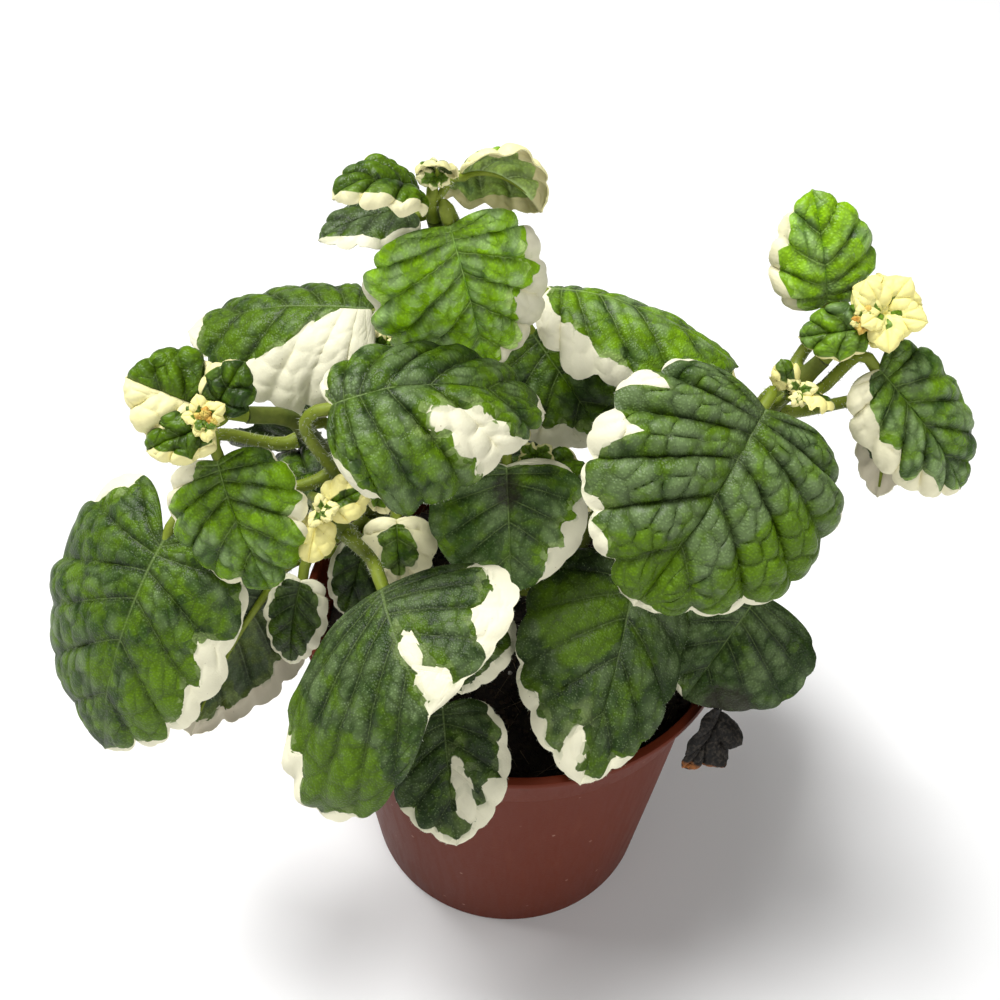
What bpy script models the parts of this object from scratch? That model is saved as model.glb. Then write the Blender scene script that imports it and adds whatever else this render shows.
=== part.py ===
"""A variegated Swedish ivy in a round plastic nursery pot.

A standalone Blender 4.5 script in metres, +Z up. -Y is the front. Sizes are named in millimetres
and places in millimetres from the middle of the pot's foot. Both are scaled once, as a mesh is
made, and the plant is moved so that the origin lies under the middle of the whole of it.
"""

import math
from typing import NamedTuple

import bpy
import numpy as np

MM = 0.001
CLEARANCE = 0.3
POT_PLACE = (6.6, -1.3, 0.0)

# The pot: a thin moulded cup with a stepped collar, a beaded lip and a raised, drained floor.
POT_HEIGHT = 92.0
RIM_RADIUS = 52.5
FOOT_RADIUS = 39.0
NECK_RADIUS = 47.1
WALL = 1.3
COLLAR_HEIGHT = 13.0
COLLAR_STEP = 1.9
STEP_SLOPE = 1.7
LIP_HEIGHT = 2.2
LIP_OVERHANG = 1.0
FLOOR_RISE = 2.5
FOOT_WIDTH = 4.0
EDGE_ROUND = 0.7
POT_SIDES = 48
DRAIN_RADIUS = 3.5
DRAIN_CIRCLE = 24.0
DRAIN_COUNT = 6

# The potting soil, with a straight hole for each stem.
SOIL_HEIGHT = 82.0
SOIL_LUMP = 0.75
SOIL_SIDES = 24
SOIL_RINGS = 5
ROOT_DEPTH = 14.0
ROOT_RISE = 3.0
HOLE_PLAY = 0.5
HOLE_SIDES = 10

# Leaves. Half of a blade's edge is two Bezier arcs, in shares of the blade's length and width.
BLADE_THICKNESS = 0.7
SHOULDER = (0.36, 0.5)
BASE_ARC = ((0.0, 0.0), (0.0, 0.24), (0.02, 0.5), SHOULDER)
TIP_ARC = (SHOULDER, (0.68, 0.5), (0.93, 0.24), (1.0, 0.0))
WIDEST = 0.46
OUTLINE_CENTRE = 0.42
SMOOTH_BASE = 0.16
TOOTH_DEPTH = 0.075
VEIN_SWEEP = 1.7
WAVE_COUNT = 2.5
HEEL_ROW = 0.09
FIRST_TEETH = 8.0
LAST_TEETH = 12.0
NORMAL_STEP = 0.2

# Petioles and stems, all hand-swept tubes with few sides.
PETIOLE_STEPS = 5
PETIOLE_LEAD = 0.35
PETIOLE_REACH = 2.5
YOUNG_PETIOLE = 0.8
SHOOT_SIDES = 6
SHOOT_STEPS = 4
STEM_SIDES = 7
STEM_STEP = 12.0


class Finish(NamedTuple):
    """A material: its colour, its roughness and the angle above which a corner stays sharp."""

    colour: tuple
    roughness: float
    smooth_angle: float = 40.0


class Stem(NamedTuple):
    """A stem: where it stands in the soil, its route above, its radius at its foot and its end."""

    name: str
    foot: tuple
    route: tuple
    radius: float = 2.3
    end_radius: float = 1.7


class Shoot(NamedTuple):
    """A young shoot: a short axis with small leaves fused to it.

    It springs from its stem's side at a height, or goes on from the stem's end where that is None.
    """

    name: str
    stem: str
    height: float | None
    end: tuple
    radius: float = 1.5
    end_radius: float = 0.9


class Leaf(NamedTuple):
    """A leaf, from the base of its blade to its tip.

    height is where on its stem or shoot the petiole springs. facing is the heading and the rise of
    the line that the upper side looks along. curl bends the blade down along its midrib, fold
    lifts both halves about the midrib, and cup bends each half down towards its edge. wave is the
    height of the edge's waves, and lobe is how far the rounded base reaches back. Uneven leaves
    have a right half that is wider by skew, a left one that is narrower by it, and a fan, which
    slides the right half forward, more so towards the tip.
    """

    name: str
    stem: str
    height: float
    base: tuple
    tip: tuple
    facing: tuple
    width: float
    curl: float = 40.0
    fold: float = 6.0
    cup: float = 30.0
    wave: float = 0.8
    teeth: int = 6
    lobe: float = 0.13
    skew: float = 0.0
    fan: float = 0.0
    petiole: float = 1.3


TERRACOTTA_PLASTIC = Finish((0.30, 0.075, 0.045), 0.55, 30.0)
PEAT = Finish((0.012, 0.009, 0.007), 0.95)
GREEN_LEAF = Finish((0.055, 0.16, 0.03), 0.5, 60.0)
YOUNG_LEAF = Finish((0.42, 0.48, 0.14), 0.5, 60.0)
DRY_LEAF = Finish((0.10, 0.045, 0.02), 0.85, 60.0)
GREEN_STEM = Finish((0.13, 0.21, 0.05), 0.6, 60.0)

STEMS = (
    Stem("stem_top", (-4, 7), ((-7, 13, 118), (-12, 13, 165), (-17, 9, 184), (-19, 4, 196))),
    Stem("stem_right", (11, 3), ((24, 3, 115), (42, -3, 148), (50, -5, 162), (57, -5, 173))),
    Stem("stem_left", (-16, 2), ((-33, -2, 122), (-43, -8, 148), (-47, -14, 161), (-54, -19, 166))),
    Stem("stem_front_left", (-10, -9), ((-21, -14, 108), (-38, -15, 130), (-43, -18, 142))),
    Stem("stem_front", (4, -9), ((4, -11, 110), (0, -8, 138))),
    Stem("stem_back_right", (13, 15), ((24, 28, 108), (30, 34, 124))),
    Stem("stem_back_left", (-13, 16), ((-26, 30, 108), (-32, 38, 124))),
)

SHOOTS = (
    Shoot("shoot_top", "stem_top", None, (-19, 0, 208)),
    Shoot("shoot_right", "stem_right", None, (61, -5, 184)),
    Shoot("shoot_axil", "stem_right", 163, (52, -9, 169), 1.1, 0.8),
    Shoot("shoot_left", "stem_left", None, (-61, -23, 170)),
    Shoot("shoot_inner", "stem_front_left", None, (-40, -25, 149)),
    Shoot("shoot_front", "stem_front", None, (2, -6, 146)),
    Shoot("shoot_back_right", "stem_back_right", None, (33, 38, 133)),
    Shoot("shoot_back_left", "stem_back_left", None, (-35, 42, 131)),
)

LEAVES = (
    Leaf("leaf_top_front", "stem_top", 185, (-16, 0, 197), (-9, 8, 158), (-85, 38), 37,
         lobe=0.08, skew=0.1),
    Leaf("leaf_top_left", "stem_top", 184, (-24, 9, 194), (-41, 3, 191), (0, 90), 18, teeth=5),
    Leaf("leaf_back_cream", "stem_top", 168, (-33, 9, 171), (-73, 14, 160), (-95, 80), 42,
         fold=-10, cup=60, skew=-0.1),
    Leaf("leaf_left_low", "stem_left", 154, (-60, -23, 157), (-51, -33, 132), (-95, 25), 29),
    Leaf("leaf_left_large", "stem_left", 140, (-74, -25, 136), (-91, -44, 88), (-112, 32), 53,
         curl=50, fold=-5, lobe=0.4, skew=0.12),
    Leaf("leaf_left_under", "stem_left", 118, (-55, -18, 116), (-73, -40, 88), (60, 40), 36),
    Leaf("leaf_left_small", "stem_left", 124, (-48, -20, 119), (-51, -28, 100), (-100, 40), 15),
    Leaf("leaf_left_behind", "stem_left", 130, (-49, 6, 140), (-66, 8, 134), (-90, -40), 26),
    Leaf("leaf_centre", "stem_front_left", 139, (-37, -21, 171), (3, -10, 161), (-90, 75), 42,
         curl=80, fold=0, cup=60, skew=0.25),
    Leaf("leaf_centre_low", "stem_front", 132, (-4, -13, 149), (-2, -26, 125), (-90, 45), 34),
    Leaf("leaf_cream_small", "stem_front_left", 122, (-27, -14, 133), (-26, -21, 119), (-90, 45),
         17, teeth=4),
    Leaf("leaf_front", "stem_front_left", 130, (-28, -36, 136), (-17, -60, 128), (-105, 45), 66,
         curl=40, fold=-5, cup=25, lobe=0.05, skew=0.22, fan=1.1),
    Leaf("leaf_front_hidden", "stem_front", 110, (-12, -22, 115), (-12, -39, 106), (-90, 60), 24),
    Leaf("leaf_rim_left", "stem_front", 92, (-16, -40, 102), (-12, -62, 83), (-90, 50), 28),
    Leaf("leaf_rim_centre", "stem_front", 112, (25, -16, 122), (14, -53, 94), (-75, 50), 38,
         skew=0.2),
    Leaf("leaf_right_large", "stem_right", 158, (45, -15, 168), (22, -38, 136), (-70, 45), 56),
    Leaf("leaf_back_ridge", "stem_top", 168, (4, 17, 172), (44, 8, 160), (90, 75), 40,
         fold=-15, cup=60),
    Leaf("leaf_back_centre", "stem_top", 150, (1, 17, 160), (18, 6, 140), (-105, 50), 34, teeth=5),
    Leaf("leaf_right_fallen", "stem_right", 130, (52, -20, 120), (38, -31, 96), (-90, 60), 34,
         cup=20, lobe=0.05, skew=-0.15),
    Leaf("leaf_withered", "stem_right", 102, (46, -33, 94), (38, -42, 85), (-60, 30), 12,
         fold=5, cup=-20, teeth=4, lobe=0.05, skew=-0.25, petiole=1.0),
    Leaf("leaf_right_tip", "stem_right", 168, (57, 2, 182), (52, 12, 200), (-95, 45), 21, teeth=5),
    Leaf("leaf_right_outer", "stem_right", 167, (67, -9, 174), (90, -12, 146), (-75, 35), 25,
         cup=45),
    Leaf("leaf_right_hanging", "stem_right", 160, (76, 0, 152), (76, -7, 138), (60, -30), 12,
         teeth=4),
    Leaf("leaf_inner_dark", "stem_front_left", 108, (-35, -10, 121), (-40, -17, 105), (-70, 45),
         13, teeth=4),
    Leaf("leaf_back_a", "stem_back_right", 116, (38, 40, 126), (58, 58, 98), (45, 45), 44),
    Leaf("leaf_back_b", "stem_back_right", 122, (22, 46, 134), (20, 68, 112), (90, 50), 40),
    Leaf("leaf_back_c", "stem_back_right", 104, (44, 22, 112), (72, 30, 92), (15, 50), 40),
    Leaf("leaf_back_d", "stem_back_left", 114, (-44, 45, 118), (-63, 62, 92), (130, 45), 44),
    Leaf("leaf_back_e", "stem_back_left", 122, (-18, 51, 134), (-15, 71, 112), (90, 50), 36),
    Leaf("leaf_back_f", "stem_back_left", 104, (-46, 24, 110), (-76, 28, 92), (165, 50), 42),
    Leaf("leaf_back_g", "stem_back_left", 98, (-8, 40, 98), (-2, 66, 84), (90, 50), 36),
    Leaf("leaf_back_h", "stem_top", 136, (-8, 25, 152), (-4, 46, 133), (90, 50), 34),
    Leaf("leaf_back_i", "stem_right", 132, (37, 9, 144), (55, 24, 125), (50, 50), 32),
    Leaf("leaf_back_j", "stem_left", 126, (-36, 19, 139), (-54, 34, 126), (130, 60), 26),
)

YOUNG_LEAVES = (
    Leaf("a", "shoot_top", 201, (-22, 1, 203), (-36, -7, 206), (-90, 50), 16, 80, teeth=4),
    Leaf("b", "shoot_top", 201, (-14, 3, 206), (1, 6, 197), (75, 15), 20, 90, teeth=4),
    Leaf("c", "shoot_top", 206, (-18, -1, 208), (-18, -5, 212), (-90, 70), 8, 20, teeth=3),
    Leaf("a", "shoot_right", 180, (61, -5, 184), (73, -4, 186), (-90, 45), 14, teeth=4),
    Leaf("b", "shoot_right", 179, (62, -8, 183), (51, -6, 179), (-90, 40), 11, teeth=4),
    Leaf("a", "shoot_axil", 167, (50, -9, 170), (48, -8, 175), (-90, 30), 6, teeth=3),
    Leaf("b", "shoot_axil", 167, (53, -11, 168), (59, -12, 166), (90, 70), 8, teeth=3),
    Leaf("a", "shoot_left", 168, (-61, -22, 170), (-75, -20, 175), (-90, 45), 20, teeth=4),
    Leaf("b", "shoot_left", 169, (-58, -22, 171), (-53, -18, 178), (-90, 45), 11, teeth=3),
    Leaf("c", "shoot_left", 168, (-60, -25, 168), (-71, -29, 165), (-90, 45), 11, teeth=3),
    Leaf("a", "shoot_inner", 146, (-39, -25, 148), (-31, -22, 151), (-90, 45), 10, teeth=3),
    Leaf("b", "shoot_inner", 146, (-41, -27, 146), (-43, -31, 138), (-90, 45), 9, teeth=3),
    Leaf("a", "shoot_front", 144, (4, -8, 146), (14, -13, 137), (-60, 55), 13, teeth=3),
    Leaf("b", "shoot_front", 145, (-1, -4, 148), (-12, 2, 150), (100, 60), 13, teeth=3),
    Leaf("a", "shoot_back_right", 130, (36, 36, 136), (50, 32, 138), (-90, 70), 14, teeth=3),
    Leaf("b", "shoot_back_right", 130, (31, 42, 136), (24, 56, 140), (90, 60), 14, teeth=3),
    Leaf("c", "shoot_back_right", 131, (33, 39, 138), (31, 38, 148), (-90, 30), 7, teeth=3),
    Leaf("a", "shoot_back_left", 130, (-38, 40, 136), (-52, 34, 138), (-90, 70), 14, teeth=3),
    Leaf("b", "shoot_back_left", 130, (-34, 46, 134), (-40, 60, 136), (90, 60), 14, teeth=3),
    Leaf("c", "shoot_back_left", 129, (-36, 43, 135), (-39, 41, 142), (-90, 30), 7, teeth=3),
)


def unit(vector):
    """A vector at length one."""
    return vector / np.linalg.norm(vector)


def direction(heading, rise):
    """The unit vector of a heading on the ground and a rise above it, in degrees."""
    turn, lift = math.radians(heading), math.radians(rise)
    return np.array([
        math.cos(lift) * math.cos(turn), math.cos(lift) * math.sin(turn), math.sin(lift),
    ])


def leaf_axes(leaf):
    """Unit vectors of a leaf: along its chord, to its right and out of its upper face."""
    along = unit(np.subtract(leaf.tip, leaf.base).astype(float))
    right = unit(np.cross(along, direction(*leaf.facing)))
    return along, right, np.cross(right, along)


def leaf_length(leaf):
    """The blade's length along its midrib, which bows over the straight line to the tip."""
    chord = np.linalg.norm(np.subtract(leaf.tip, leaf.base))
    half = math.radians(leaf.curl) / 2
    return chord * half / math.sin(half)


def bezier(points, share):
    """Points of a cubic Bezier arc at an array of shares."""
    share = share[:, None]
    rest = 1.0 - share
    a, b, c, d = (np.array(point, float) for point in points)
    return rest**3 * a + 3 * rest**2 * share * b + 3 * rest * share**2 * c + share**3 * d


def bezier_heading(points, share):
    """Unit vectors along a cubic Bezier arc at an array of shares."""
    share = share[:, None]
    a, b, c, d = (np.array(point, float) for point in points)
    rest = 1.0 - share
    slope = rest**2 * (b - a) + 2 * rest * share * (c - b) + share**2 * (d - c)
    return slope / np.linalg.norm(slope, axis=1)[:, None]


def outline(leaf, share):
    """Half of the flat blade's edge: x along the midrib and y out to one side, with its teeth."""
    start, heel, flank, shoulder = BASE_ARC
    early = (start, (heel[0] - leaf.lobe, heel[1]), (flank[0] - leaf.lobe / 4, flank[1]), shoulder)
    early = bezier(early, np.clip(share / WIDEST, 0, 1))
    late = bezier(TIP_ARC, np.clip((share - WIDEST) / (1 - WIDEST), 0, 1))
    edge = np.where((share < WIDEST)[:, None], early, late)
    toothed = np.clip((share - SMOOTH_BASE) / (1 - SMOOTH_BASE), 0, 1)
    notch = 1 - np.abs(np.sin(math.pi * toothed * leaf.teeth))
    notch *= np.clip(toothed * FIRST_TEETH, 0, 1) * np.clip((1 - toothed) * LAST_TEETH, 0, 1)
    centre = np.array([OUTLINE_CENTRE, 0.0])
    edge = centre + (edge - centre) * (1 - TOOTH_DEPTH * notch)[:, None]
    return edge * np.array([leaf_length(leaf), leaf.width])


def arc(bend, start, distance):
    """Forward and upward travel along arcs that set out at angle start and turn down by bend."""
    bend = bend if abs(bend) > 1e-6 else 1e-6
    end = start - bend * distance
    return (np.sin(start) - np.sin(end)) / bend, (np.cos(end) - np.cos(start)) / bend


def bent(leaf, x, y):
    """Where the points of the flat blade, x along the midrib and y to its right, lie once bent."""
    along, right, normal = leaf_axes(leaf)
    length, half = leaf_length(leaf), leaf.width / 2
    curl = math.radians(leaf.curl)
    forward, lift = arc(curl / length, curl / 2, x)
    lean = curl / 2 - curl * x / length
    rise = np.cos(lean)[:, None] * normal - np.sin(lean)[:, None] * along
    out, up = arc(math.radians(leaf.cup) / half, math.radians(leaf.fold), np.abs(y))
    ripple = np.sin(2 * math.pi * (WAVE_COUNT * x / length + 0.25 * np.sign(y)))
    up = up + leaf.wave * (y / half) ** 2 * ripple
    return (
        np.array(leaf.base, float)
        + forward[:, None] * along
        + lift[:, None] * normal
        + (np.sign(y) * out)[:, None] * right
        + up[:, None] * rise
    )


def blade_grid(leaf, columns):
    """Flat places of a blade's grid: rows from its base to its tip, columns from edge to edge."""
    shares = [0.0, HEEL_ROW]
    steps = 2 * leaf.teeth
    shares += [SMOOTH_BASE + (1 - SMOOTH_BASE) * step / steps for step in range(steps + 1)]
    shares = np.array(shares)
    edge = outline(leaf, shares)
    midrib = leaf_length(leaf) * shares[:, None] ** VEIN_SWEEP
    across = np.arange(-columns, columns + 1) / columns
    halves = across * (1 + leaf.skew * np.sign(across))
    y = edge[:, 1:] * halves
    x = midrib + (edge[:, :1] - midrib) * np.abs(across)
    return x + leaf.fan * shares[:, None] * np.maximum(y, 0), y


def leaf_shell(leaf, stalk, columns):
    """Points and faces of one leaf: a toothed blade, split alike on both sides, and its petiole.

    stalk is the petiole's Bezier arc, from its foot to its blade. The petiole has four corners, and
    its last ring is the blade's own base, so both are one body.
    """
    x, y = (grid.ravel() for grid in blade_grid(leaf, columns))
    middle = bent(leaf, x, y)
    step = NORMAL_STEP
    ahead = bent(leaf, x + step, y) - bent(leaf, x - step, y)
    beside = bent(leaf, x, y + step) - bent(leaf, x, y - step)
    normals = np.cross(beside, ahead)
    normals *= BLADE_THICKNESS / 2 / np.linalg.norm(normals, axis=1)[:, None]
    points = [*(middle + normals), *(middle - normals)]
    under, wide = len(x), 2 * columns + 1
    last = under // wide - 1

    def number(row, column):
        """A grid point's number. Each end row is one point."""
        return row * wide + (columns if row in (0, last) else column)

    faces = []
    for row in range(last):
        for column in range(2 * columns):
            near, far = number(row, column), number(row + 1, column)
            near_next, far_next = number(row, column + 1), number(row + 1, column + 1)
            for face in ((near, near_next, far_next), (near, far_next, far)):
                if len(set(face)) == 3:
                    faces.append(face)
                    faces.append(tuple(corner + under for corner in reversed(face)))
    for column, turn in ((0, 1), (2 * columns, -1)):
        for row in range(1, last):
            near, far = number(row, column), number(row + 1, column)
            faces.append((near, far, far + under)[::turn])
            faces.append((near, far + under, near + under)[::turn])

    set_out, lift, right = base_axes(leaf)
    heel = np.array(leaf.base, float) - set_out * leaf.petiole
    right_heel, left_heel = len(points), len(points) + 1
    points += [heel + right * leaf.petiole, heel - right * leaf.petiole]
    top = number(0, columns)
    for column, corner, turn in ((0, left_heel, 1), (2 * columns, right_heel, -1)):
        edge = number(1, column)
        faces.append((top, edge, corner)[::turn])
        faces.append((edge, edge + under, corner)[::turn])
        faces.append((edge + under, top + under, corner)[::turn])

    ring = (right_heel, top, left_heel, top + under)
    share = np.linspace(1, 0, PETIOLE_STEPS)
    for place, tangent in zip(bezier(stalk, share), bezier_heading(stalk, share)):
        lift = unit(lift - tangent * np.dot(lift, tangent))
        right = np.cross(tangent, lift)
        start = len(points)
        points += [
            place + leaf.petiole * corner for corner in (right, lift, -right, -lift)
        ]
        fresh = tuple(range(start, start + 4))
        for side in range(4):
            a, b = ring[side], ring[(side + 1) % 4]
            c, d = fresh[(side + 1) % 4], fresh[side]
            faces += [(a, b, c), (a, c, d)]
        ring = fresh
    faces += [(ring[0], ring[1], ring[2]), (ring[0], ring[2], ring[3])]
    return np.array(points), faces


def tube(route, headings, radii, sides):
    """Points and faces of a round tube along a route, closed at both ends."""
    side = unit(np.cross(headings[0], (0.3, 0.9, 0.31)))
    points, faces = [], []
    for place, tangent, radius in zip(route, headings, radii):
        side = unit(side - tangent * np.dot(side, tangent))
        other = np.cross(tangent, side)
        for corner in range(sides):
            turn = 2 * math.pi * corner / sides
            points.append(place + radius * (math.cos(turn) * side + math.sin(turn) * other))
    for ring in range(len(route) - 1):
        for corner in range(sides):
            a, b = ring * sides + corner, ring * sides + (corner + 1) % sides
            faces += [(a, b, b + sides), (a, b + sides, a + sides)]
    end = (len(route) - 1) * sides
    for corner in range(1, sides - 1):
        faces.append((0, corner + 1, corner))
        faces.append((end, end + corner, end + corner + 1))
    return np.array(points), faces


def smooth_route(points, step):
    """A Catmull-Rom curve through the points, cut at about equal steps."""
    points = [np.array(point, float) for point in points]
    points = [2 * points[0] - points[1], *points, 2 * points[-1] - points[-2]]
    route = []
    for a, b, c, d in zip(points, points[1:], points[2:], points[3:]):
        count = max(1, round(np.linalg.norm(c - b) / step))
        for number in range(count):
            t = number / count
            route.append(0.5 * (
                2 * b + (c - a) * t + (2 * a - 5 * b + 4 * c - d) * t**2
                + (3 * b - a - 3 * c + d) * t**3
            ))
    return np.array([*route, points[-2]])


def stem_route(stem):
    """A stem's route, headings and radii: straight up out of its hole, then through its points."""
    x, y = stem.foot
    root = ((x, y, SOIL_HEIGHT - ROOT_DEPTH), (x, y, SOIL_HEIGHT + ROOT_RISE))
    route = smooth_route((*root, *stem.route), STEM_STEP)
    headings = np.gradient(route, axis=0)
    headings /= np.linalg.norm(headings, axis=1)[:, None]
    return route, headings, np.linspace(stem.radius, stem.end_radius, len(route))


def base_axes(leaf):
    """Unit vectors at the blade's base: along the midrib, up from it and to its right."""
    along, right, normal = leaf_axes(leaf)
    half = math.radians(leaf.curl) / 2
    set_out = math.cos(half) * along + math.sin(half) * normal
    return set_out, math.cos(half) * normal - math.sin(half) * along, right


def springing(axis, height, end, seat):
    """Where a petiole or a side shoot springs from its stem: its foot and its first direction.

    seat is how far the foot lies from the stem's surface, and is negative where it is fused.
    """
    route, _, radii = axis
    heights = route[:, 2]
    centre = np.array([np.interp(height, heights, places) for places in route.T])
    segment = min(max(int(np.searchsorted(heights, height)), 1), len(route) - 1)
    tangent = unit(route[segment] - route[segment - 1])
    away = end - centre
    outward = unit(away - tangent * np.dot(away, tangent))
    return centre + outward * (np.interp(height, heights, radii) + seat), outward


def petiole_arc(leaf, axis, seat):
    """A petiole's Bezier arc, from square off its stem to just behind the base of its blade."""
    set_out, _, _ = base_axes(leaf)
    end = np.array(leaf.base, float) - set_out * leaf.petiole * PETIOLE_REACH
    foot, outward = springing(axis, leaf.height, end, seat)
    lead = PETIOLE_LEAD * np.linalg.norm(end - foot)
    return foot, foot + outward * lead, end - set_out * lead, end


def shoot_route(shoot, axis):
    """A shoot's route, headings and radii, seated on its stem's end or side."""
    end = np.array(shoot.end, float)
    if shoot.height is None:
        outward = axis[1][-1]
        foot = axis[0][-1] + outward * CLEARANCE
    else:
        foot, outward = springing(axis, shoot.height, end, CLEARANCE)
    lead = np.linalg.norm(end - foot) / 3
    share = np.linspace(0, 1, SHOOT_STEPS)
    curve = (foot, foot + outward * lead, end - unit(end - foot) * lead, end)
    radii = np.linspace(shoot.radius, shoot.end_radius, SHOOT_STEPS)
    return bezier(curve, share), bezier_heading(curve, share), radii


def mesh_object(name, points, faces):
    """A mesh object from points in millimetres around the pot's axis."""
    mesh = bpy.data.meshes.new(name)
    places = (np.asarray(points) + POT_PLACE) * MM
    mesh.from_pydata(places.tolist(), [], [tuple(map(int, face)) for face in faces])
    mesh.update()
    piece = bpy.data.objects.new(name, mesh)
    bpy.context.scene.collection.objects.link(piece)
    return piece


def combine(piece, others, operation):
    """Fuse other objects into a piece, or cut them out of it, with one Boolean and remove them."""
    group = bpy.data.collections.new("operands")
    bpy.context.scene.collection.children.link(group)
    for other in others:
        group.objects.link(other)
    boolean = piece.modifiers.new(operation.lower(), "BOOLEAN")
    boolean.operation = operation
    boolean.operand_type = "COLLECTION"
    boolean.collection = group
    apply_modifiers(piece)
    for other in others:
        bpy.data.objects.remove(other)
    bpy.data.collections.remove(group)


def apply_modifiers(piece):
    """Replace a piece's mesh with the one that its modifiers make."""
    graph = bpy.context.evaluated_depsgraph_get()
    mesh = bpy.data.meshes.new_from_object(piece.evaluated_get(graph))
    piece.modifiers.clear()
    piece.data = mesh


def paint(piece, finish):
    """Give a piece a material of its own and shade it smooth, with its corners kept."""
    material = bpy.data.materials.new(f"{piece.name}_finish")
    material.use_nodes = True
    shader = material.node_tree.nodes["Principled BSDF"]
    shader.inputs["Base Color"].default_value = (*finish.colour, 1.0)
    shader.inputs["Roughness"].default_value = finish.roughness
    piece.data.materials.clear()
    piece.data.materials.append(material)
    piece.data.shade_smooth()
    piece.data.set_sharp_from_angle(angle=math.radians(finish.smooth_angle))


def pot_outside():
    """The pot's outer profile as (radius, height), from its foot up to the top of its lip."""
    collar = POT_HEIGHT - COLLAR_HEIGHT
    return (
        (FOOT_RADIUS, 0.0),
        (NECK_RADIUS, collar - EDGE_ROUND),
        (NECK_RADIUS + COLLAR_STEP, collar),
        (RIM_RADIUS - LIP_OVERHANG, POT_HEIGHT - LIP_HEIGHT),
        (RIM_RADIUS, POT_HEIGHT - LIP_HEIGHT + EDGE_ROUND),
        (RIM_RADIUS, POT_HEIGHT - EDGE_ROUND),
        (RIM_RADIUS - EDGE_ROUND, POT_HEIGHT),
    )


def pot_inside():
    """The pot's inner profile as (radius, height), from its lip down to its floor."""
    collar = POT_HEIGHT - COLLAR_HEIGHT
    throat = RIM_RADIUS - LIP_OVERHANG - WALL
    step = NECK_RADIUS + COLLAR_STEP - WALL
    floor = FLOOR_RISE + WALL
    return (
        (throat + EDGE_ROUND / 2, POT_HEIGHT),
        (throat, POT_HEIGHT - LIP_HEIGHT),
        (step, collar + STEP_SLOPE / 2),
        (step - COLLAR_STEP, collar - STEP_SLOPE / 2),
        (FOOT_RADIUS + (NECK_RADIUS - FOOT_RADIUS) * floor / collar - WALL, floor),
    )


def turned(profile, sides):
    """Points and faces of a closed solid turned from a profile that starts and ends at its axis."""
    points = [(0.0, 0.0, profile[0][1])]
    rings = profile[1:-1]
    for radius, height in rings:
        for side in range(sides):
            turn = 2 * math.pi * side / sides
            points.append((radius * math.cos(turn), radius * math.sin(turn), height))
    points.append((0.0, 0.0, profile[-1][1]))
    faces = []
    for side in range(sides):
        following = (side + 1) % sides
        faces.append((0, 1 + following, 1 + side))
        for ring in range(len(rings) - 1):
            low, high = 1 + ring * sides, 1 + (ring + 1) * sides
            faces.append((low + side, low + following, high + following, high + side))
        top = 1 + (len(rings) - 1) * sides
        faces.append((top + side, top + following, len(points) - 1))
    return points, faces


def rod(name, place, bottom, top, radius):
    """An upright round rod at a place, used as a cutter."""
    points, faces = turned(((0, bottom), (radius, bottom), (radius, top), (0, top)), HOLE_SIDES)
    return mesh_object(name, np.array(points) + (*place, 0), faces)


def build_pot():
    """The pot: one turned shell with a foot ring and drain holes in its raised floor."""
    inside = pot_inside()
    foot = FOOT_RADIUS - FOOT_WIDTH
    profile = [
        (0.0, FLOOR_RISE), (foot - EDGE_ROUND, FLOOR_RISE), (foot, 0.0), *pot_outside(), *inside,
        (0.0, inside[-1][1]),
    ]
    pot = mesh_object("pot", *turned(profile, POT_SIDES))
    holes = []
    for number in range(DRAIN_COUNT):
        turn = 2 * math.pi * (number + 0.5) / DRAIN_COUNT
        place = (DRAIN_CIRCLE * math.cos(turn), DRAIN_CIRCLE * math.sin(turn))
        holes.append(rod("drain", place, -WALL, FLOOR_RISE + 2 * WALL, DRAIN_RADIUS))
    combine(pot, holes, "DIFFERENCE")
    paint(pot, TERRACOTTA_PLASTIC)


def soil_height(x, y):
    """The height of the lumpy soil at a place in the pot."""
    lumps = math.sin(0.31 * x + 0.9) * math.cos(0.27 * y) + 0.6 * math.sin(0.19 * x - 0.43 * y)
    return SOIL_HEIGHT + SOIL_LUMP * lumps


def build_soil():
    """The soil: a plug that fills the pot, with a lumpy top and a straight hole for each stem."""
    wall = [(radius - CLEARANCE * 1.4, height) for radius, height in pot_inside()[::-1]]
    bottom = wall[0][1] + CLEARANCE
    rim = wall[2][0]
    profile = [(0.0, bottom), (wall[0][0], bottom), wall[1], wall[2]]
    profile += [
        (rim * (1 - ring / SOIL_RINGS), SOIL_HEIGHT) for ring in range(SOIL_RINGS)
    ]
    profile.append((0.0, SOIL_HEIGHT))
    points, faces = turned(profile, SOIL_SIDES)
    loose = 1 + 3 * SOIL_SIDES
    points = points[:loose] + [(x, y, soil_height(x, y)) for x, y, _ in points[loose:]]
    soil = mesh_object("soil", points, faces)
    holes = []
    for stem in STEMS:
        bottom = SOIL_HEIGHT - ROOT_DEPTH - CLEARANCE
        top = SOIL_HEIGHT + ROOT_RISE
        holes.append(rod("hole", stem.foot, bottom, top, stem.radius + HOLE_PLAY))
    combine(soil, holes, "DIFFERENCE")
    paint(soil, PEAT)


def build_leaf(leaf, axis):
    """One grown leaf, its petiole seated on its stem."""
    piece = mesh_object(leaf.name, *leaf_shell(leaf, petiole_arc(leaf, axis, CLEARANCE), 2))
    paint(piece, DRY_LEAF if leaf.name == "leaf_withered" else GREEN_LEAF)


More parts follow.
